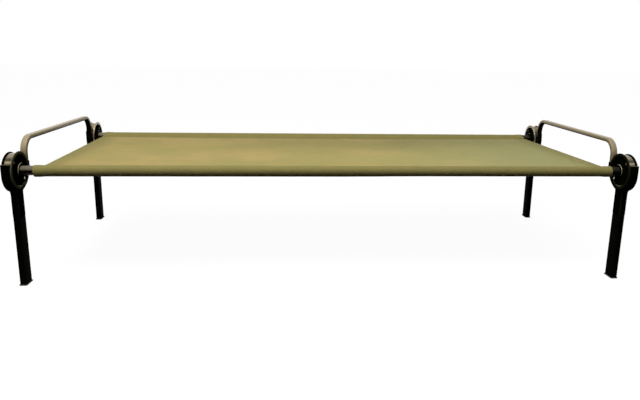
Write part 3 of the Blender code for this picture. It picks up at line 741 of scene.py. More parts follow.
creases = [
    {"start": (0.17, 0.33), "end": (0.36, -0.30), "depth": 0.0010, "width": 0.010},
    {"start": (-0.25, 0.34), "end": (-0.02, -0.20), "depth": 0.0008, "width": 0.014},
    {"start": (-0.42, 0.30), "end": (-0.30, -0.28), "depth": 0.0006, "width": 0.016},
    {"start": (0.62, 0.30), "end": (0.70, -0.30), "depth": 0.0006, "width": 0.014},
]
# Painted light and shade on the web: soft areas made brighter or darker
paintedLightShadeAreas = [
    {"at": (0.16, -0.16), "reach": (0.55, 0.24), "gain": 0.20},
    {"at": (0.60, 0.27), "reach": (0.50, 0.14), "gain": -0.18},
    {"at": (0.34, 0.20), "reach": (0.16, 0.18), "gain": -0.10},
    {"at": (-0.62, -0.12), "reach": (0.30, 0.25), "gain": 0.07},
    {"at": (-0.15, 0.24), "reach": (0.28, 0.12), "gain": -0.10},
]


def smoothStep(value):
    value = min(max(value, 0.0), 1.0)
    return value * value * (3 - 2 * value)


def paintedLightShadeGain(x, y):
    gain = 1.0
    for area in paintedLightShadeAreas:
        away = ((x - area["at"][0]) / area["reach"][0]) ** 2 + ((y - area["at"][1]) / area["reach"][1]) ** 2
        gain += area["gain"] * math.exp(-away)
    return gain


def creaseDepth(x, y):
    depth = 0.0
    for crease in creases:
        start, end = Vector(crease["start"]), Vector(crease["end"])
        along = end - start
        offset = Vector((x, y)) - start
        part = offset.dot(along) / along.length_squared
        away = abs(offset.x * along.y - offset.y * along.x) / along.length
        fade = smoothStep(part * 6) * smoothStep((1 - part) * 6)
        depth += crease["depth"] * fade * math.exp(-((away / crease["width"]) ** 2))
    return depth


def clothShift(y):
    # The sheet lies a little askew on the rails
    marks = deck["shifts"]
    for (low, first), (high, second) in zip(marks, marks[1:]):
        if y <= high:
            break
    part = (y - low) / (high - low)
    if high - low < 0.2:
        part = smoothStep(part)
    return first + (second - first) * part


def clothNoise(x, y):
    return noise.noise(Vector((x * 9, y * 14, 3.1)))


def webRise(x, y):
    # How far the web stands above its seams, with its sag, ripples and creases
    lengthwise = 1 - (x / deck["endX"]) ** 2
    crosswise = 1 - (y / webEdge) ** 2
    return (clothNoise(x, y) * deck["ripple"] - creaseDepth(x, y) - deck["sag"] * lengthwise) * crosswise


def sleeveSection():
    # (inboard of the rail, above the rail), from the hidden free edge to the web's start
    radius, inset, rise, layer = deck["sleeveRadius"], deck["seamInset"], deck["seamRise"], deck["layer"]
    reach = math.hypot(inset, rise)
    seam = math.degrees(math.atan2(rise, inset))
    spread = math.degrees(math.acos(radius / reach))
    count = round(deck["allowance"] / 0.004)
    points = [(inset + deck["allowance"] * (1 - i / count), rise - layer) for i in range(count + 1)]
    wrap = arcPoints((0, 0), radius, seam - spread, seam + spread - 360, 40)
    first, last = wrap[0], wrap[-1]
    for t in (1 / 3, 2 / 3):
        points.append((inset + (first[0] - inset) * t, (rise - layer) * (1 - t) + first[1] * t))
    points += wrap
    for t in (0.35, 0.7, 0.92):
        points.append((last[0] + (inset - last[0]) * t, last[1] + (rise - last[1]) * t))
    return points


def deckPath():
    # One row of the sheet: (y, z above the rail axis, part of the sleeve or not)
    sleeve = sleeveSection()
    row = [(-rig["railY"] + inward, up, True) for inward, up in sleeve]
    count = round(2 * webEdge / (deck["step"] * 1.2))
    row += [(-webEdge + 2 * webEdge * j / count, deck["seamRise"], False) for j in range(count + 1)]
    row += [(rig["railY"] - inward, up, True) for inward, up in reversed(sleeve)]
    return row


def deckStations():
    # (x, layers in from the outer face) along the sheet, with the folded hem at both ends
    end, hem, layer = deck["endX"], deck["hem"], deck["layer"]
    flatEnd = end - 0.004
    count = round(2 * flatEnd / deck["step"])
    middle = [(-flatEnd + 2 * flatEnd * i / count, 0.0) for i in range(count + 1)]
    fold = [(end - 0.0015, 0.0), (end - 0.0004, layer * 0.2), (end, layer * 0.5)]
    fold += [(end - 0.0004, layer * 0.8), (end - 0.0015, layer)]
    fold += [(end - hem * t, layer) for t in (0.1, 0.25, 0.4, 0.55, 0.7, 0.85, 1.0)]
    return [(-x, inward) for x, inward in reversed(fold)] + middle + fold


def deckPoint(x, inward, row, j):
    y, up, sleeve = row[j]
    before, after = row[max(j - 1, 0)], row[min(j + 1, len(row) - 1)]
    along = Vector((after[0] - before[0], after[1] - before[1])).normalized()
    inside = Vector((along.y, -along.x))
    place = Vector((y, up)) + inside * inward
    if sleeve:
        near = (abs(x) - deck["endX"] + deck["flareLength"]) / (deck["flareLength"] * 0.5)
        place -= inside * deck["flare"] * smoothStep(near)
        if place.y < 0:
            slack = deck["slack"] * (1 - deck["slackLoss"] * smoothStep(x / deck["slackFade"]))
            place.y *= 1 + slack / deck["sleeveRadius"]
        place -= inside * deck["sleeveRipple"] * abs(clothNoise(x, y))
    else:
        place.y += webRise(x, y)
    setBack = deck["setBack"] * smoothStep((abs(place.x) - webEdge) / deck["seamFade"])
    setBack *= smoothStep((abs(x) - deck["setBackFrom"]) / deck["setBackLength"])
    return Vector((x - math.copysign(setBack, x) + clothShift(place.x), place.x, rig["railZ"] + place.y))


def runningLength(points):
    total = [0.0]
    for first, second in zip(points, points[1:]):
        total.append(total[-1] + math.hypot(second[0] - first[0], second[1] - first[1]))
    return total


def buildDeck():
    row, stations = deckPath(), deckStations()
    cutX, cutY = runningLength(stations), runningLength(row)
    bm = bmesh.new()
    flat = bm.loops.layers.uv.new("clothFlat")
    backingShade = bm.verts.layers.float.new("backingShade")
    paintedLightShade = bm.verts.layers.float.new("paintedLightShade")
    grid = []
    for x, inward in stations:
        # Painted shade on the sleeves, the hemmed ends and the rear seam's allowance; painted light and shade
        # over soft areas of the web
        hem = deck["hemShade"] * (1 - smoothStep((deck["endX"] - abs(x)) / deck["hemShadeLength"]))
        hidden = deck["foldReach"] + deck["foldReachMiddle"] * (1 - (x / deck["endX"]) ** 2)
        line = []
        for j, (y, up, sleeve) in enumerate(row):
            vert = bm.verts.new(deckPoint(x, inward, row, j))
            folded = deck["foldShade"] * smoothStep((y - webEdge + hidden) / deck["foldFade"])
            vert[backingShade] = 1.0 if sleeve else max(hem, folded)
            vert[paintedLightShade] = 1.0 if sleeve else paintedLightShadeGain(x, y)
            line.append(vert)
        grid.append(line)
    for i in range(len(stations) - 1):
        for j in range(len(row) - 1):
            places = ((i, j), (i + 1, j), (i + 1, j + 1), (i, j + 1))
            face = bm.faces.new([grid[a][b] for a, b in places])
            for loop, (a, b) in zip(face.loops, places):
                loop[flat].uv = (cutX[a], cutY[b])
    mesh = meshFrom(bm, merge=False)
    sheet = placePiece("deckSheet", mesh, "deck", "deck_canvas", ("deck_fabric",), sharp=60)
    body = sheet.modifiers.new("clothThickness", "SOLIDIFY")
    body.thickness = deck["thickness"]
    body.offset = 0
    return sheet, (cutX[-1], cutY[-1])


stitch = {
    "pitch": 0.0042,
    "thread": 0.00042,
    "share": 0.70,  # of the pitch that the thread covers
    "seamInsets": (0.0035, 0.0095),
    "hemInset": 0.004,
}


def stitchRow(bm, start, end):
    # Short rounded stitches that lie along the line, sunk a little at both ends
    pitch, thread = stitch["pitch"], stitch["thread"]
    start, end = Vector(start), Vector(end)
    along = (end - start).normalized()
    across = Vector((-along.y, along.x, 0))
    onCloth = rig["railZ"] + deck["seamRise"] + deck["thickness"] / 2
    for i in range(int((end - start).length / pitch)):
        middle = start + along * pitch * (i + 0.5)
        middle.x += clothShift(middle.y)
        rings = []
        for t, fat in ((-0.5, 0.35), (-0.32, 0.9), (0.32, 0.9), (0.5, 0.35)):
            spot = middle + along * pitch * stitch["share"] * t
            spot.z = onCloth + webRise(spot.x, spot.y) + thread * (0.25 if abs(t) < 0.4 else -0.35)
            ring = []
            for k in range(6):
                angle = math.pi * k / 3
                around = across * math.cos(angle) + Vector((0, 0, math.sin(angle)))
                ring.append(spot + around * thread * fat)
            rings.append(ring)
        bridgeRings(bm, rings)


def buildStitches():
    end, hem, inset = deck["endX"], deck["hem"], stitch["hemInset"]
    rows = {"frontSeam": [], "rearSeam": [], "leftHem": [], "rightHem": []}
    for name, side in (("frontSeam", -1), ("rearSeam", 1)):
        for y in [side * (webEdge - seamInset) for seamInset in stitch["seamInsets"]]:
            rows[name].append(((-end + 0.004, y, 0), (end - 0.004, y, 0)))
    for name, side in (("leftHem", -1), ("rightHem", 1)):
        for x in (side * (end - inset), side * (end - hem + inset)):
            rows[name].append(((x, -webEdge + 0.002, 0), (x, webEdge - 0.002, 0)))
    made = []
    for name, lines in rows.items():
        bm = bmesh.new()
        for start, finish in lines:
            stitchRow(bm, start, finish)
        name, mesh = name + "Stitches", meshFrom(bm, merge=False)
        made.append(placePiece(name, mesh, "deck", "deck_canvas", material=threadFinish, sharp=80))
    return made


deckSheet, deckFlat = buildDeck()
stitches = buildStitches()
print("deck sheet cut to", [round(size, 3) for size in deckFlat])


# Rail end sections

railEnd = {
    "inner": 0.0144,
    "start": 0.34015,
    "end": 1.0320,
    "edge": 0.0005,
    "buttonX": 0.370,
    "holeRadius": 0.0043,
    "steps": 72,
    "bareFrom": 0.96,
    # Painted highlight along the top of the bare end, at each corner
    "paintedTopLight": {"front_left": 0.40, "front_right": 0.04, "rear_left": 0.50, "rear_right": 0.04},
}


def buildRailEnds():
    outer, inner, edge = rig["railRadius"], railEnd["inner"], railEnd["edge"]
    low, high, bare, hole = railEnd["start"], railEnd["end"], railEnd["bareFrom"], railEnd["holeRadius"]
    profile = [(low, inner), (low, outer - edge), (low + edge, outer), (bare, outer)]
    profile += [(high - edge, outer), (high, outer - edge), (high, inner)]
    drillProfile = [(-0.03, 0), (-0.03, hole), (0, hole), (0, 0)]
    drill = turnedMesh(drillProfile, 32, "Z", (railEnd["buttonX"], 0, 0))
    tube = cutMesh(turnedMesh(profile, railEnd["steps"]), [("DIFFERENCE", drill)])
    for *corner, rail, end in corners:
        prefix = corner[0]
        mesh = tube.copy()
        paintedLight = mesh.attributes.new("paintedLight", "FLOAT", "FACE")
        for face in mesh.polygons:
            # Painted highlight on the upper faces of the bare end
            if face.center.x > bare and face.normal.z > 0:
                share = smoothStep((face.normal.z - 0.12) / 0.3)
                paintedLight.data[face.index].value = railEnd["paintedTopLight"][prefix] * share
        placeAtCorner(corner, "RailTube", mesh, rail, "black_paint", railNode(prefix, "rail"))


buildRailEnds()
print("rail ends made")


# Spring clips inside the rails, one behind each button, built at rest with a mesh of their own; the real clip
# flattens as its button is pressed

clipSpring = {
    "width": 0.0090,
    "thickness": 0.0007,
    "length": 0.0450,
    "bend": 0.0028,
    "foot": -0.0111,
    "roof": 0.0111,
    "travel": 0.0035,
}


def clipMesh():
    # A leaf bent into a V: from behind the button, round the bend, to the joiner's far wall
    half, thin, bend = clipSpring["width"] / 2, clipSpring["thickness"] / 2, clipSpring["bend"]
    spine = [(half, clipSpring["foot"] + thin), (-half, clipSpring["foot"] + thin)]
    spine += arcPoints((bend + thin - clipSpring["length"], 0), bend, 260, 100, 12)
    spine += [(0, clipSpring["roof"] - thin)]
    below, above = [], []
    for i, (x, z) in enumerate(spine):
        before, after = spine[max(i - 1, 0)], spine[min(i + 1, len(spine) - 1)]
        along = Vector((after[0] - before[0], after[1] - before[1])).normalized()
        below.append((railEnd["buttonX"] + x + along.y * thin, z - along.x * thin))
        above.append((railEnd["buttonX"] + x - along.y * thin, z + along.x * thin))
    bm = bmesh.new()
    bridgeRings(bm, [[(x, level, z) for x, z in below + above[::-1]] for level in (-half, half)])
    return meshFrom(bm)


def buildClips():
    leaf = clipMesh()
    for *corner, rail, end in corners:
        prefix, sideX, sideY = corner
        piece = placeAtCorner(corner, "Clip", leaf, rail, "spring_steel", railNode(prefix, "clip"))
        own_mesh(piece)


buildClips()
print("spring clips made")


# Discs: flange, hub and two screws at each rail end

disc = {
    "face": 1.0104,
    "back": 1.0140,
    "radius": 0.0628,
    "rimWidth": 0.0105,
    "dishFloor": 1.0146,
    "dishBack": 1.0162,
    "slope": 0.0021,
    "collarRadius": 0.0252,
    "collarFace": 1.0060,
    "bore": 0.0162,
    "hubRadius": 0.0575,
    "hubBack": 1.0400,
    "hubEdge": 0.0013,
    "hubRim": 0.0045,
    "hubBoss": 0.0055,
    "hubWeb": 0.0040,
    "ribs": 6,
    "ribThickness": 0.0065,
    "steps": 128,
}
# Painted highlights and reflections on the discs, from 0 to 1
discPaintedLight = {
    "rim": {"front_left": 0.25, "front_right": 0.03, "rear_left": 0.70, "rear_right": 0.40},
    "slope": {"front_left": 0.9, "front_right": 0.4, "rear_left": 0.9, "rear_right": 0.4},
    "barrel": 0.05,
    "barrelTop": 0.50,
    "farBarrelTop": 0.62,
    "bandHeight": 0.0345,  # of the painted bright band round the barrel, above the rail's axis
    "bandWidth": 0.0032,
    "shaded": 0.0055,  # length at the barrel's back that the cup shades
}
discScrew = {"circle": 0.0440, "radius": 0.0045, "height": 0.0022, "shank": 0.00175, "length": 0.014}


def flangePaintedLight(spot, normal, prefix):
    # Painted highlights: none in the dish; on the rim, the slope at the bottom and the collar's edge at the
    # front top
    reach = math.hypot(spot.y, spot.z)
    rim, collar = disc["radius"] - disc["rimWidth"], disc["collarRadius"]
    if reach > rim + 0.0008:
        return discPaintedLight["rim"][prefix], "rear" in prefix
    if reach > rim - disc["slope"] - 0.0004 and spot.x < disc["dishFloor"]:
        return discPaintedLight["slope"][prefix] * smoothStep((-spot.z / reach - 0.72) / 0.2), False
    if collar - 0.0018 < reach < collar + 0.0004 and spot.x < disc["collarFace"] + 0.0024:
        share = smoothStep(((spot.y + spot.z) / reach - 0.55) / 0.5)
        return share, share > 0.05
    return 0.0, False


def hubPaintedLight(spot, normal, far):
    # Painted reflection bands round the barrel's top, left out where the cup's back shades the front ones
    reach = math.hypot(spot.y, spot.z)
    if reach < disc["hubRadius"] - 0.0015:
        return 0.0, False
    if far:
        return discPaintedLight["farBarrelTop"] * smoothStep((spot.z - 0.030) / 0.018), False
    if spot.x > disc["hubBack"] - discPaintedLight["shaded"]:
        return 0.0, False
    if spot.z <= 0.02:
        return discPaintedLight["barrel"], False
    band = math.exp(-(((spot.z - discPaintedLight["bandHeight"]) / discPaintedLight["bandWidth"]) ** 2))
    return max(band, discPaintedLight["barrelTop"] * smoothStep((spot.z - 0.043) / 0.008)), True


def flangeMesh():
    radius, bore, face, back = disc["radius"], disc["bore"], disc["face"], disc["back"]
    floor, collar, collarFace = disc["dishFloor"], disc["collarRadius"], disc["collarFace"]
    rim = radius - disc["rimWidth"]
    floorRadius = rim - disc["slope"]
    edge, lip, collarEdge, fillet = 0.0009, 0.0007, 0.0012, 0.0009
    profile = [(disc["dishBack"], bore), (collarFace + 0.0004, bore), (collarFace, bore + 0.0006)]
    profile += arcPoints((collarFace + collarEdge, collar - collarEdge), collarEdge, 180, 90, 5)
    profile += arcPoints((floor - fillet, collar + fillet), fillet, -90, 0, 4)
    profile += [(floor, floorRadius - 0.0008), (floor - 0.0003, floorRadius)]
    profile += arcPoints((face + lip, rim + 0.0002), lip, 215, 180, 3)
    profile += [(face, rim + 0.0010), (face - 0.0003, rim + 0.0025), (face - 0.0003, radius - 0.0032)]
    profile += arcPoints((face + edge, radius - edge), edge, 165, 90, 6)
    profile += [(back - 0.0004, radius), (back, radius - 0.0004), (back, rim)]
    profile += [(disc["dishBack"], floorRadius)]
    return turnedMesh(profile, disc["steps"])


def hubMesh():
    rim = disc["radius"] - disc["rimWidth"]
    seat, face = disc["dishBack"] + 0.0003, disc["back"] + 0.0003
    back, radius, edge = disc["hubBack"], disc["hubRadius"], disc["hubEdge"]
    profile = [(back, disc["bore"]), (seat, disc["bore"]), (seat, rim - disc["slope"])]
    profile += [(face, rim + 0.0003), (face, radius - 0.0006), (face + 0.0006, radius)]
    middle, half, groove = (face + back) / 2, 0.0085, 0.0004
    profile += [(middle - half, radius), (middle - half + 0.0005, radius - groove)]
    profile += [(middle + half - 0.0005, radius - groove), (middle + half, radius)]
    profile += arcPoints((back - edge, radius - edge), edge, 90, 0, 5)
    inner, outer = disc["bore"] + disc["hubBoss"], radius - disc["hubRim"]
    innerTurn = math.degrees(math.asin(disc["ribThickness"] / 2 / inner))
    outerTurn = math.degrees(math.asin(disc["ribThickness"] / 2 / outer))
    sector = 360 / disc["ribs"]
    tools = []
    for i in range(disc["ribs"]):
        start = 225 + i * sector
        outline = arcPoints((0, 0), outer, start + outerTurn, start + sector - outerTurn, 12)
        outline += arcPoints((0, 0), inner, start + sector - innerTurn, start + innerTurn, 6)
        tools.append(("DIFFERENCE", prismMesh(outline, seat + disc["hubWeb"], back + 0.005, "X")))
    return cutMesh(turnedMesh(profile, disc["steps"]), tools)


def domedScrew(seat, direction, size):
    # Pan head with a rolled edge, and a cross recess for the driver
    radius, height, shank = size["radius"], size["height"], size["shank"]
    under, tip = seat - direction * 0.0003, seat + direction * size["length"]
    top = under - direction * height
    profile = [(tip, 0), (tip - direction * 0.0008, shank * 0.7), (tip - direction * 0.0016, shank)]
    profile += [(under, shank), (under, radius * 0.97)]
    for i in range(9):
        angle = math.radians(10 + 75 * i / 8)
        profile.append((under - direction * height * math.sin(angle), radius * math.cos(angle) ** 0.75))
    profile.append((top, 0))
    arm, width, depth = radius * 0.52, radius * 0.13, height * 0.55
    low, high = sorted((top - direction * 0.001, top + direction * depth))
    tools = []
    for across, up in ((arm, width), (width, arm)):
        outline = [(-across, -up), (across, -up), (across, up), (-across, up)]
        tools.append(("DIFFERENCE", prismMesh(outline, low, high, "X")))
    return cutMesh(turnedMesh(profile, 40), tools)


def buildDiscs():
    flange, hub = flangeMesh(), hubMesh()
    screw = domedScrew(disc["dishFloor"], 1, discScrew)
    offset = discScrew["circle"] * math.sqrt(0.5)
    # The upper screws take the darker zinc finish: painted shade
    screwSpots = (("Lower", -offset, None), ("Upper", offset, finishes["screw_dark"]))
    for *corner, rail, end in corners:
        prefix = corner[0]
        far = "rear" in prefix
        # The rear flanges take the lit copy of the moulding: painted light
        moulding = "rear_moulding" if far else "black_moulding"
        ring = markFaces(flange, moulding, flangePaintedLight, prefix)
        barrel = markFaces(hub, "hub_moulding", hubPaintedLight, far)
        placeAtCorner(corner, "Flange", ring, rail, "black_moulding", f"{prefix}_disc_flange")
        placeAtCorner(corner, "Hub", barrel, rail, "hub_moulding", f"{prefix}_disc_hub")
        for label, out, finish in screwSpots:
            mesh = screw.copy()
            mesh.transform(Matrix.Translation((0, out, out)))
            node = f"{prefix}_disc_screw_{label.lower()}"
            placeAtCorner(corner, "DiscScrew" + label, mesh, rail, "screw_zinc", node, finish)


buildDiscs()
print("discs made")


# Leg heads: cup, neck, cheeks round the leg and the lug for the end bar

head = {
    "cupFace": 1.0145,
    "cupFloor": 1.0405,
    "cupBack": 1.0438,
    "backRounding": 0.0026,
    "cupRadius": 0.0617,
    "roundDrop": 0.0075,
    "backRadius": 0.0610,
    "cupBore": 0.0582,
    "rimRise": 0.030,
    "neckFillet": 0.022,
    "neckThickness": 0.0218,
    "neckRounding": 0.0030,
    "cheekDepth": 0.160,
    "cheekCorner": 0.009,
    "tenonDepth": 0.140,
    "legTop": 0.0736,
    "lugLow": -0.022,
    "lugHigh": 0.020,
    "lugWall": 0.0014,
    "lugSetback": 0.0020,
    "flangeRoom": 0.0633,
    "gap": 0.0003,
    "rounding": 0.0007,
    "recessRadius": 0.046,
    "recessDepth": 0.0009,
    "steps": 96,
}
leg = {
    "width": 0.0455,
    "thickness": 0.0204,
    "corner": 0.0028,
    "wall": 0.0015,
    "low": 0.0035,
    "high": 0.3160,
    "screwDepth": 0.115,
}
legScrew = {"radius": 0.0045, "height": 0.0020, "shank": 0.0021, "length": 0.012}
endBar = {
    "breadth": 0.0205,
    "thickness": 0.0155,
    "corner": 0.0043,
    "wall": 0.0014,
    "bend": 0.051,
    "inset": 0.06975,
    "top": 0.492,
    "endDrop": 0.028,
    "boltRadius": 0.0110,
    "boltHeight": 0.0055,
    "boltShank": 0.0030,
    "boltTip": 0.0588,
}


def cupOutline():
    # A half round below the rail axis, straight sides up to the rim, and a smaller round behind the disc
    radius, rise, back = head["cupRadius"], head["rimRise"], head["backRadius"]
    rim = math.degrees(math.asin(rise / back))
    outline = [(-radius, rise)] + arcPoints((0, -head["roundDrop"]), radius, 180, 360, head["steps"] // 2)
    return outline + [(radius, rise)] + arcPoints((0, 0), back, rim, 180 - rim, head["steps"] // 4)


def cupCutter():
    bore, rise, far = head["cupBore"], head["rimRise"], head["cupRadius"] + 0.005
    outline = [(-far, far), (-far, rise), (-bore, rise)]
    outline += arcPoints((0, 0), bore, 180, 360, head["steps"] // 2)
    outline += [(bore, rise), (far, rise), (far, far)]
    return prismMesh(outline, head["cupFace"] - 0.005, head["cupFloor"], "X")


def neckOutline():
    half, fillet = leg["width"] / 2, head["neckFillet"]
    centreY = half + fillet
    fall = math.sqrt((head["cupRadius"] + fillet) ** 2 - centreY**2)
    centreZ = -head["roundDrop"] - fall
    touch = math.degrees(math.atan2(fall, -centreY))
    right = [(half, 0)] + arcPoints((centreY, centreZ), fillet, touch, 180, 14)
    corner = (half - head["cheekCorner"], -head["cheekDepth"] + head["cheekCorner"])
    right += arcPoints(corner, head["cheekCorner"], 0, -90, 8)
    return right + [(-y, z) for y, z in reversed(right)]


def legSlotCutter():
    gap, top = head["gap"], -head["legTop"] + head["gap"]
    outer = roundedBox(leg["thickness"] + 2 * gap, leg["width"] + 2 * gap, leg["corner"] + gap, 6)
    inset = 2 * (leg["wall"] + gap)
    core = roundedBox(leg["thickness"] - inset, leg["width"] - inset, leg["corner"] - leg["wall"] - gap, 6)
    slot = prismMesh(outer, -head["cheekDepth"] - 0.005, top, "Z")
    tenon = prismMesh(core, -head["tenonDepth"], top + 0.005, "Z")
    cutter = cutMesh(slot, [("DIFFERENCE", tenon)])
    cutter.transform(Matrix.Translation((rig["legX"], 0, 0)))
    return cutter


def lugMesh():
    half = endBar["breadth"] / 2 + head["gap"] + head["lugWall"]
    front = -endBar["inset"] - endBar["thickness"] / 2 + head["lugSetback"]
    root = -head["cupBore"]
    low, high = rig["barX"] - half, rig["barX"] + half
    outline = [(low, front), (high, front), (high, root), (head["cupFace"], root)]
    outline += [(head["cupFace"], -head["flangeRoom"]), (low, -head["flangeRoom"])]
    return prismMesh(outline, head["lugLow"], head["lugHigh"], "Z")


def barChannelCutter():
    half = endBar["breadth"] / 2 + head["gap"]
    inboard = -endBar["inset"] - endBar["thickness"] / 2 - 0.005
    outboard = -endBar["inset"] + endBar["thickness"] / 2 + head["gap"]
    low, high = rig["barX"] - half, rig["barX"] + half
    outline = [(low, inboard), (high, inboard), (high, outboard), (low, outboard)]
    return prismMesh(outline, -endBar["endDrop"] - head["gap"], head["rimRise"] + 0.005, "Z")


def recessCutter():
    back, radius = head["cupBack"], head["recessRadius"]
    floor, clear = back - head["recessDepth"], back + 0.002
    profile = [(floor, 0), (floor, radius - 0.0008), (back, radius), (clear, radius), (clear, 0)]
    return turnedMesh(profile, head["steps"])


def neckMesh():
    # The neck and cheeks, their long edges rounded like the leg's
    bm = bmesh.new()
    outline, half, bend = neckOutline(), leg["width"] / 2, head["neckRounding"]
    rings = []
    for side in (-1, 1):
        for i in range(6):
            turn = math.radians(18 * (i if side < 0 else 5 - i))
            cut = bend * (1 - math.sin(turn))
            x = rig["legX"] + side * (head["neckThickness"] / 2 - bend * (1 - math.cos(turn)))
            ring = []
            for y, z in outline:
                inward = (y / half if abs(y) < half else math.copysign(1, y)) * cut
                ring.append((x, y - inward, z + cut * smoothStep((-z - 0.14) / 0.02)))
            rings.append(ring)
    bridgeRings(bm, rings)
    return meshFrom(bm)


def headMesh():
    tools = [
        ("UNION", neckMesh()),
        ("UNION", lugMesh()),
        ("DIFFERENCE", cupCutter()),
        ("DIFFERENCE", legSlotCutter()),
        ("DIFFERENCE", barChannelCutter()),
        ("DIFFERENCE", recessCutter()),
    ]
    bm = bmesh.new()
    outline, bend, back = cupOutline(), head["backRounding"], head["cupBack"]
    rings = [[(head["cupFace"], y, z) for y, z in outline]]
    for i in range(6):
        turn = math.radians(18 * i)
        scale = 1 - bend * (1 - math.cos(turn)) / head["cupRadius"]
        rings.append([(back - bend * (1 - math.sin(turn)), y * scale, z * scale) for y, z in outline])
    bridgeRings(bm, rings)
    return cutMesh(meshFrom(bm), tools)


def legTubeMesh():
    edge, inset = 0.0004, 2 * leg["wall"]
    low, high = leg["low"] - rig["railZ"], leg["high"] - rig["railZ"]
    rings = []
    for cut, z in ((edge, low), (0, low + edge), (0, high - edge), (edge, high)):
        outline = roundedBox(leg["thickness"] - 2 * cut, leg["width"] - 2 * cut, leg["corner"] - cut, 6)
        rings.append([(rig["legX"] + x, y, z) for x, y in outline])
    inner = roundedBox(leg["thickness"] - inset, leg["width"] - inset, leg["corner"] - leg["wall"], 6)
    for z in (high, low):
        rings.append([(rig["legX"] + x, y, z) for x, y in inner])
    bm = bmesh.new()
    bridgeRings(bm, rings, closed=True)
    return meshFrom(bm)


foot = {"length": 0.051, "breadth": 0.027, "sole": 0.0032, "corner": 0.006, "plug": 0.022}


def footMesh():
    # A thin sole with a rolled edge, a shallow hollow underneath and a plug that fills the leg's end
    sole, plug, corner = foot["sole"], foot["sole"] + foot["plug"], foot["corner"]
    plugGap = leg["wall"] + head["gap"]
    soleLevels = [(0.0065, 0.0006), (0.0055, 0.0), (0.0008, 0.0), (0.0002, 0.0004), (0.0, 0.0012)]
    soleLevels += [(0.0, sole - 0.0009), (0.0003, sole - 0.0003), (0.0010, sole)]
    outlines = []
    for cut, z in soleLevels:
        wide, long = foot["breadth"] - 2 * cut, foot["length"] - 2 * cut
        outlines.append((roundedBox(wide, long, max(corner - cut, 0.0006), 6), z))
    for cut, z in ((0, sole), (0, plug - 0.001), (0.001, plug)):
        away = plugGap + cut
        wide, long = leg["thickness"] - 2 * away, leg["width"] - 2 * away
        outlines.append((roundedBox(wide, long, leg["corner"] - away, 6), z))
    rings = [[(rig["legX"] + x, y, z - rig["railZ"]) for x, y in outline] for outline, z in outlines]
    bm = bmesh.new()
    bridgeRings(bm, rings)
    return meshFrom(bm)


def boltMesh():
    # Domed cap over the bar's bolt, with a flat skirt
    seat = -endBar["inset"] - endBar["thickness"] / 2 - head["gap"]
    radius, height = endBar["boltRadius"], endBar["boltHeight"]
    shank, tip = endBar["boltShank"], -endBar["boltTip"]
    skirt, dome = seat - 0.0014, radius - 0.0008
    profile = [(tip, 0), (tip, shank), (seat, shank), (seat, radius - 0.0004)]
    profile += [(seat - 0.0004, radius), (seat - 0.0012, radius), (skirt, dome)]
    for i in range(1, 9):
        angle = math.radians(10 * i)
        profile.append((skirt - (height - 0.0014) * math.sin(angle), dome * math.cos(angle)))
    profile.append((seat - height, 0))
    return turnedMesh(profile, 48, "Y", (rig["barX"], 0, 0))


def headPaintedLight(spot, normal, prefix):
    # Painted highlight on the rim's ledge, and painted light on the inboard face of the rear left neck
    if normal.z > 0.9 and abs(spot.z - head["rimRise"]) < 0.001:
        return 0.85, True
    if prefix == "rear_left" and normal.x < -0.9 and spot.z < -head["legTop"]:
        return 0.45, False
    return 0.0, False


def buildLegs():
    headShape, tube, sole, bolt = headMesh(), legTubeMesh(), footMesh(), boltMesh()
    screw = domedScrew(rig["legX"] + head["neckThickness"] / 2, -1, legScrew)
    screw.transform(Matrix.Translation((0, 0, -leg["screwDepth"])))
    for *corner, rail, end in corners:
        prefix = corner[0]
        marked = markFaces(headShape, "black_moulding", headPaintedLight, prefix)
        parts = (
            ("LegHead", marked, "black_moulding", "leg_head", None, head["rounding"]),
            ("LegTube", tube, "black_paint", "leg_tube", finishes["leg_paint"], None),
            ("FootCap", sole, "foot_rubber", "foot_cap", None, None),
            ("BarBolt", bolt, "black_moulding", "bar_bolt", None, None),
            ("LegScrew", screw, "screw_zinc", "leg_screw", None, None),
        )
        for word, mesh, slot, node, finish, bevel in parts:
            placeAtCorner(corner, word, mesh, end, slot, f"{prefix}_{node}", finish, bevel)


buildLegs()
print("leg heads, legs and feet made")


# End bars: one flat-oval tube bent into a wide U

def barPath():
    reach, bend = rig["railY"] - endBar["inset"], endBar["bend"]
    middle, low = endBar["top"] - endBar["thickness"] / 2, rig["railZ"] - endBar["endDrop"]
    path = [(reach, low), (reach, low + 0.03)] + arcPoints((reach - bend, middle - bend), bend, 0, 90, 28)
    path += [((reach - bend) * t, middle) for t in (0.8, 0.6, 0.4, 0.2, 0)]
    return path + [(-y, z) for y, z in reversed(path[:-1])]


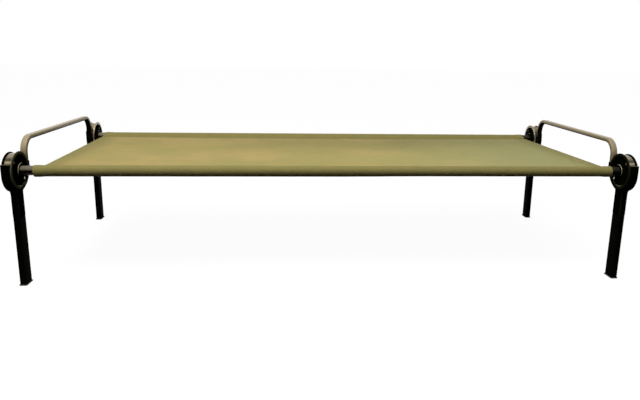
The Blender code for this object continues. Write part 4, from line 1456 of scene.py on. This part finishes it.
def sweepRings(section, path, x):
    rings = []
    for i, point in enumerate(path):
        here = Vector(point)
        before = (here - Vector(path[i - 1])).normalized() if i > 0 else None
        after = (Vector(path[i + 1]) - here).normalized() if i < len(path) - 1 else None
        along = ((before or after) + (after or before)).normalized()
        across = Vector((along.y, -along.x)) / along.dot(after or before)
        rings.append([(x + a, here.x + across.x * b, here.y + across.y * b) for a, b in section])
    return rings


def barPaintedLight(level, z):
    # Painted highlight on the outer side, less on the uprights, and none on the side towards the gap
    return smoothStep((level - 0.20) / 0.16) * (0.62 + 0.38 * smoothStep((z - 0.425) / 0.03))


def buildEndBars():
    path = barPath()
    breadth, thickness = endBar["breadth"], endBar["thickness"]
    corner, wall = endBar["corner"], endBar["wall"]
    outer = roundedBox(breadth, thickness, corner, 8)
    inner = roundedBox(breadth - 2 * wall, thickness - 2 * wall, corner - wall, 8)
    for end, side in (("left", -1), ("right", 1)):
        bm = bmesh.new()
        rings = sweepRings(outer, path, side * rig["barX"])
        rings += reversed(sweepRings(inner, path, side * rig["barX"]))
        bridgeRings(bm, rings, closed=True)
        paintedLight = bm.verts.layers.float.new("paintedLight")
        # Painted highlight on the bar's outer side; those faces also take the polished finish
        for i, vert in enumerate(bm.verts):
            outside = i < len(outer) * len(path)
            level = outer[i % len(outer)][1] / thickness + 0.5 if outside else 0.0
            vert[paintedLight] = barPaintedLight(level, vert.co.z)
        for face in bm.faces:
            face.material_index = int(min(vert[paintedLight] for vert in face.verts) > 0.4)
        mesh = meshFrom(bm, merge=False)
        mesh.materials.append(finishes["bar_paint"])
        mesh.materials.append(polished["bar_paint"])
        placePiece(f"{end}EndBar", mesh, f"{end}_end_frame", "black_paint", (f"{end}_end_bar",))


buildEndBars()
print("end bars made")


# The CAD nodes that stay take the same finishes

def dressFrameNodes():
    slotOf = {part["node"]: part["material_slot"] for part in frame["record"]["subparts"]}
    for name, node in frame["nodes"].items():
        finish = finishes[slotOf[name]]
        if not node.data.materials:
            node.data.materials.append(finish)
        for i in range(len(node.data.materials)):
            node.data.materials[i] = finish


dressFrameNodes()
print("frame nodes dressed")
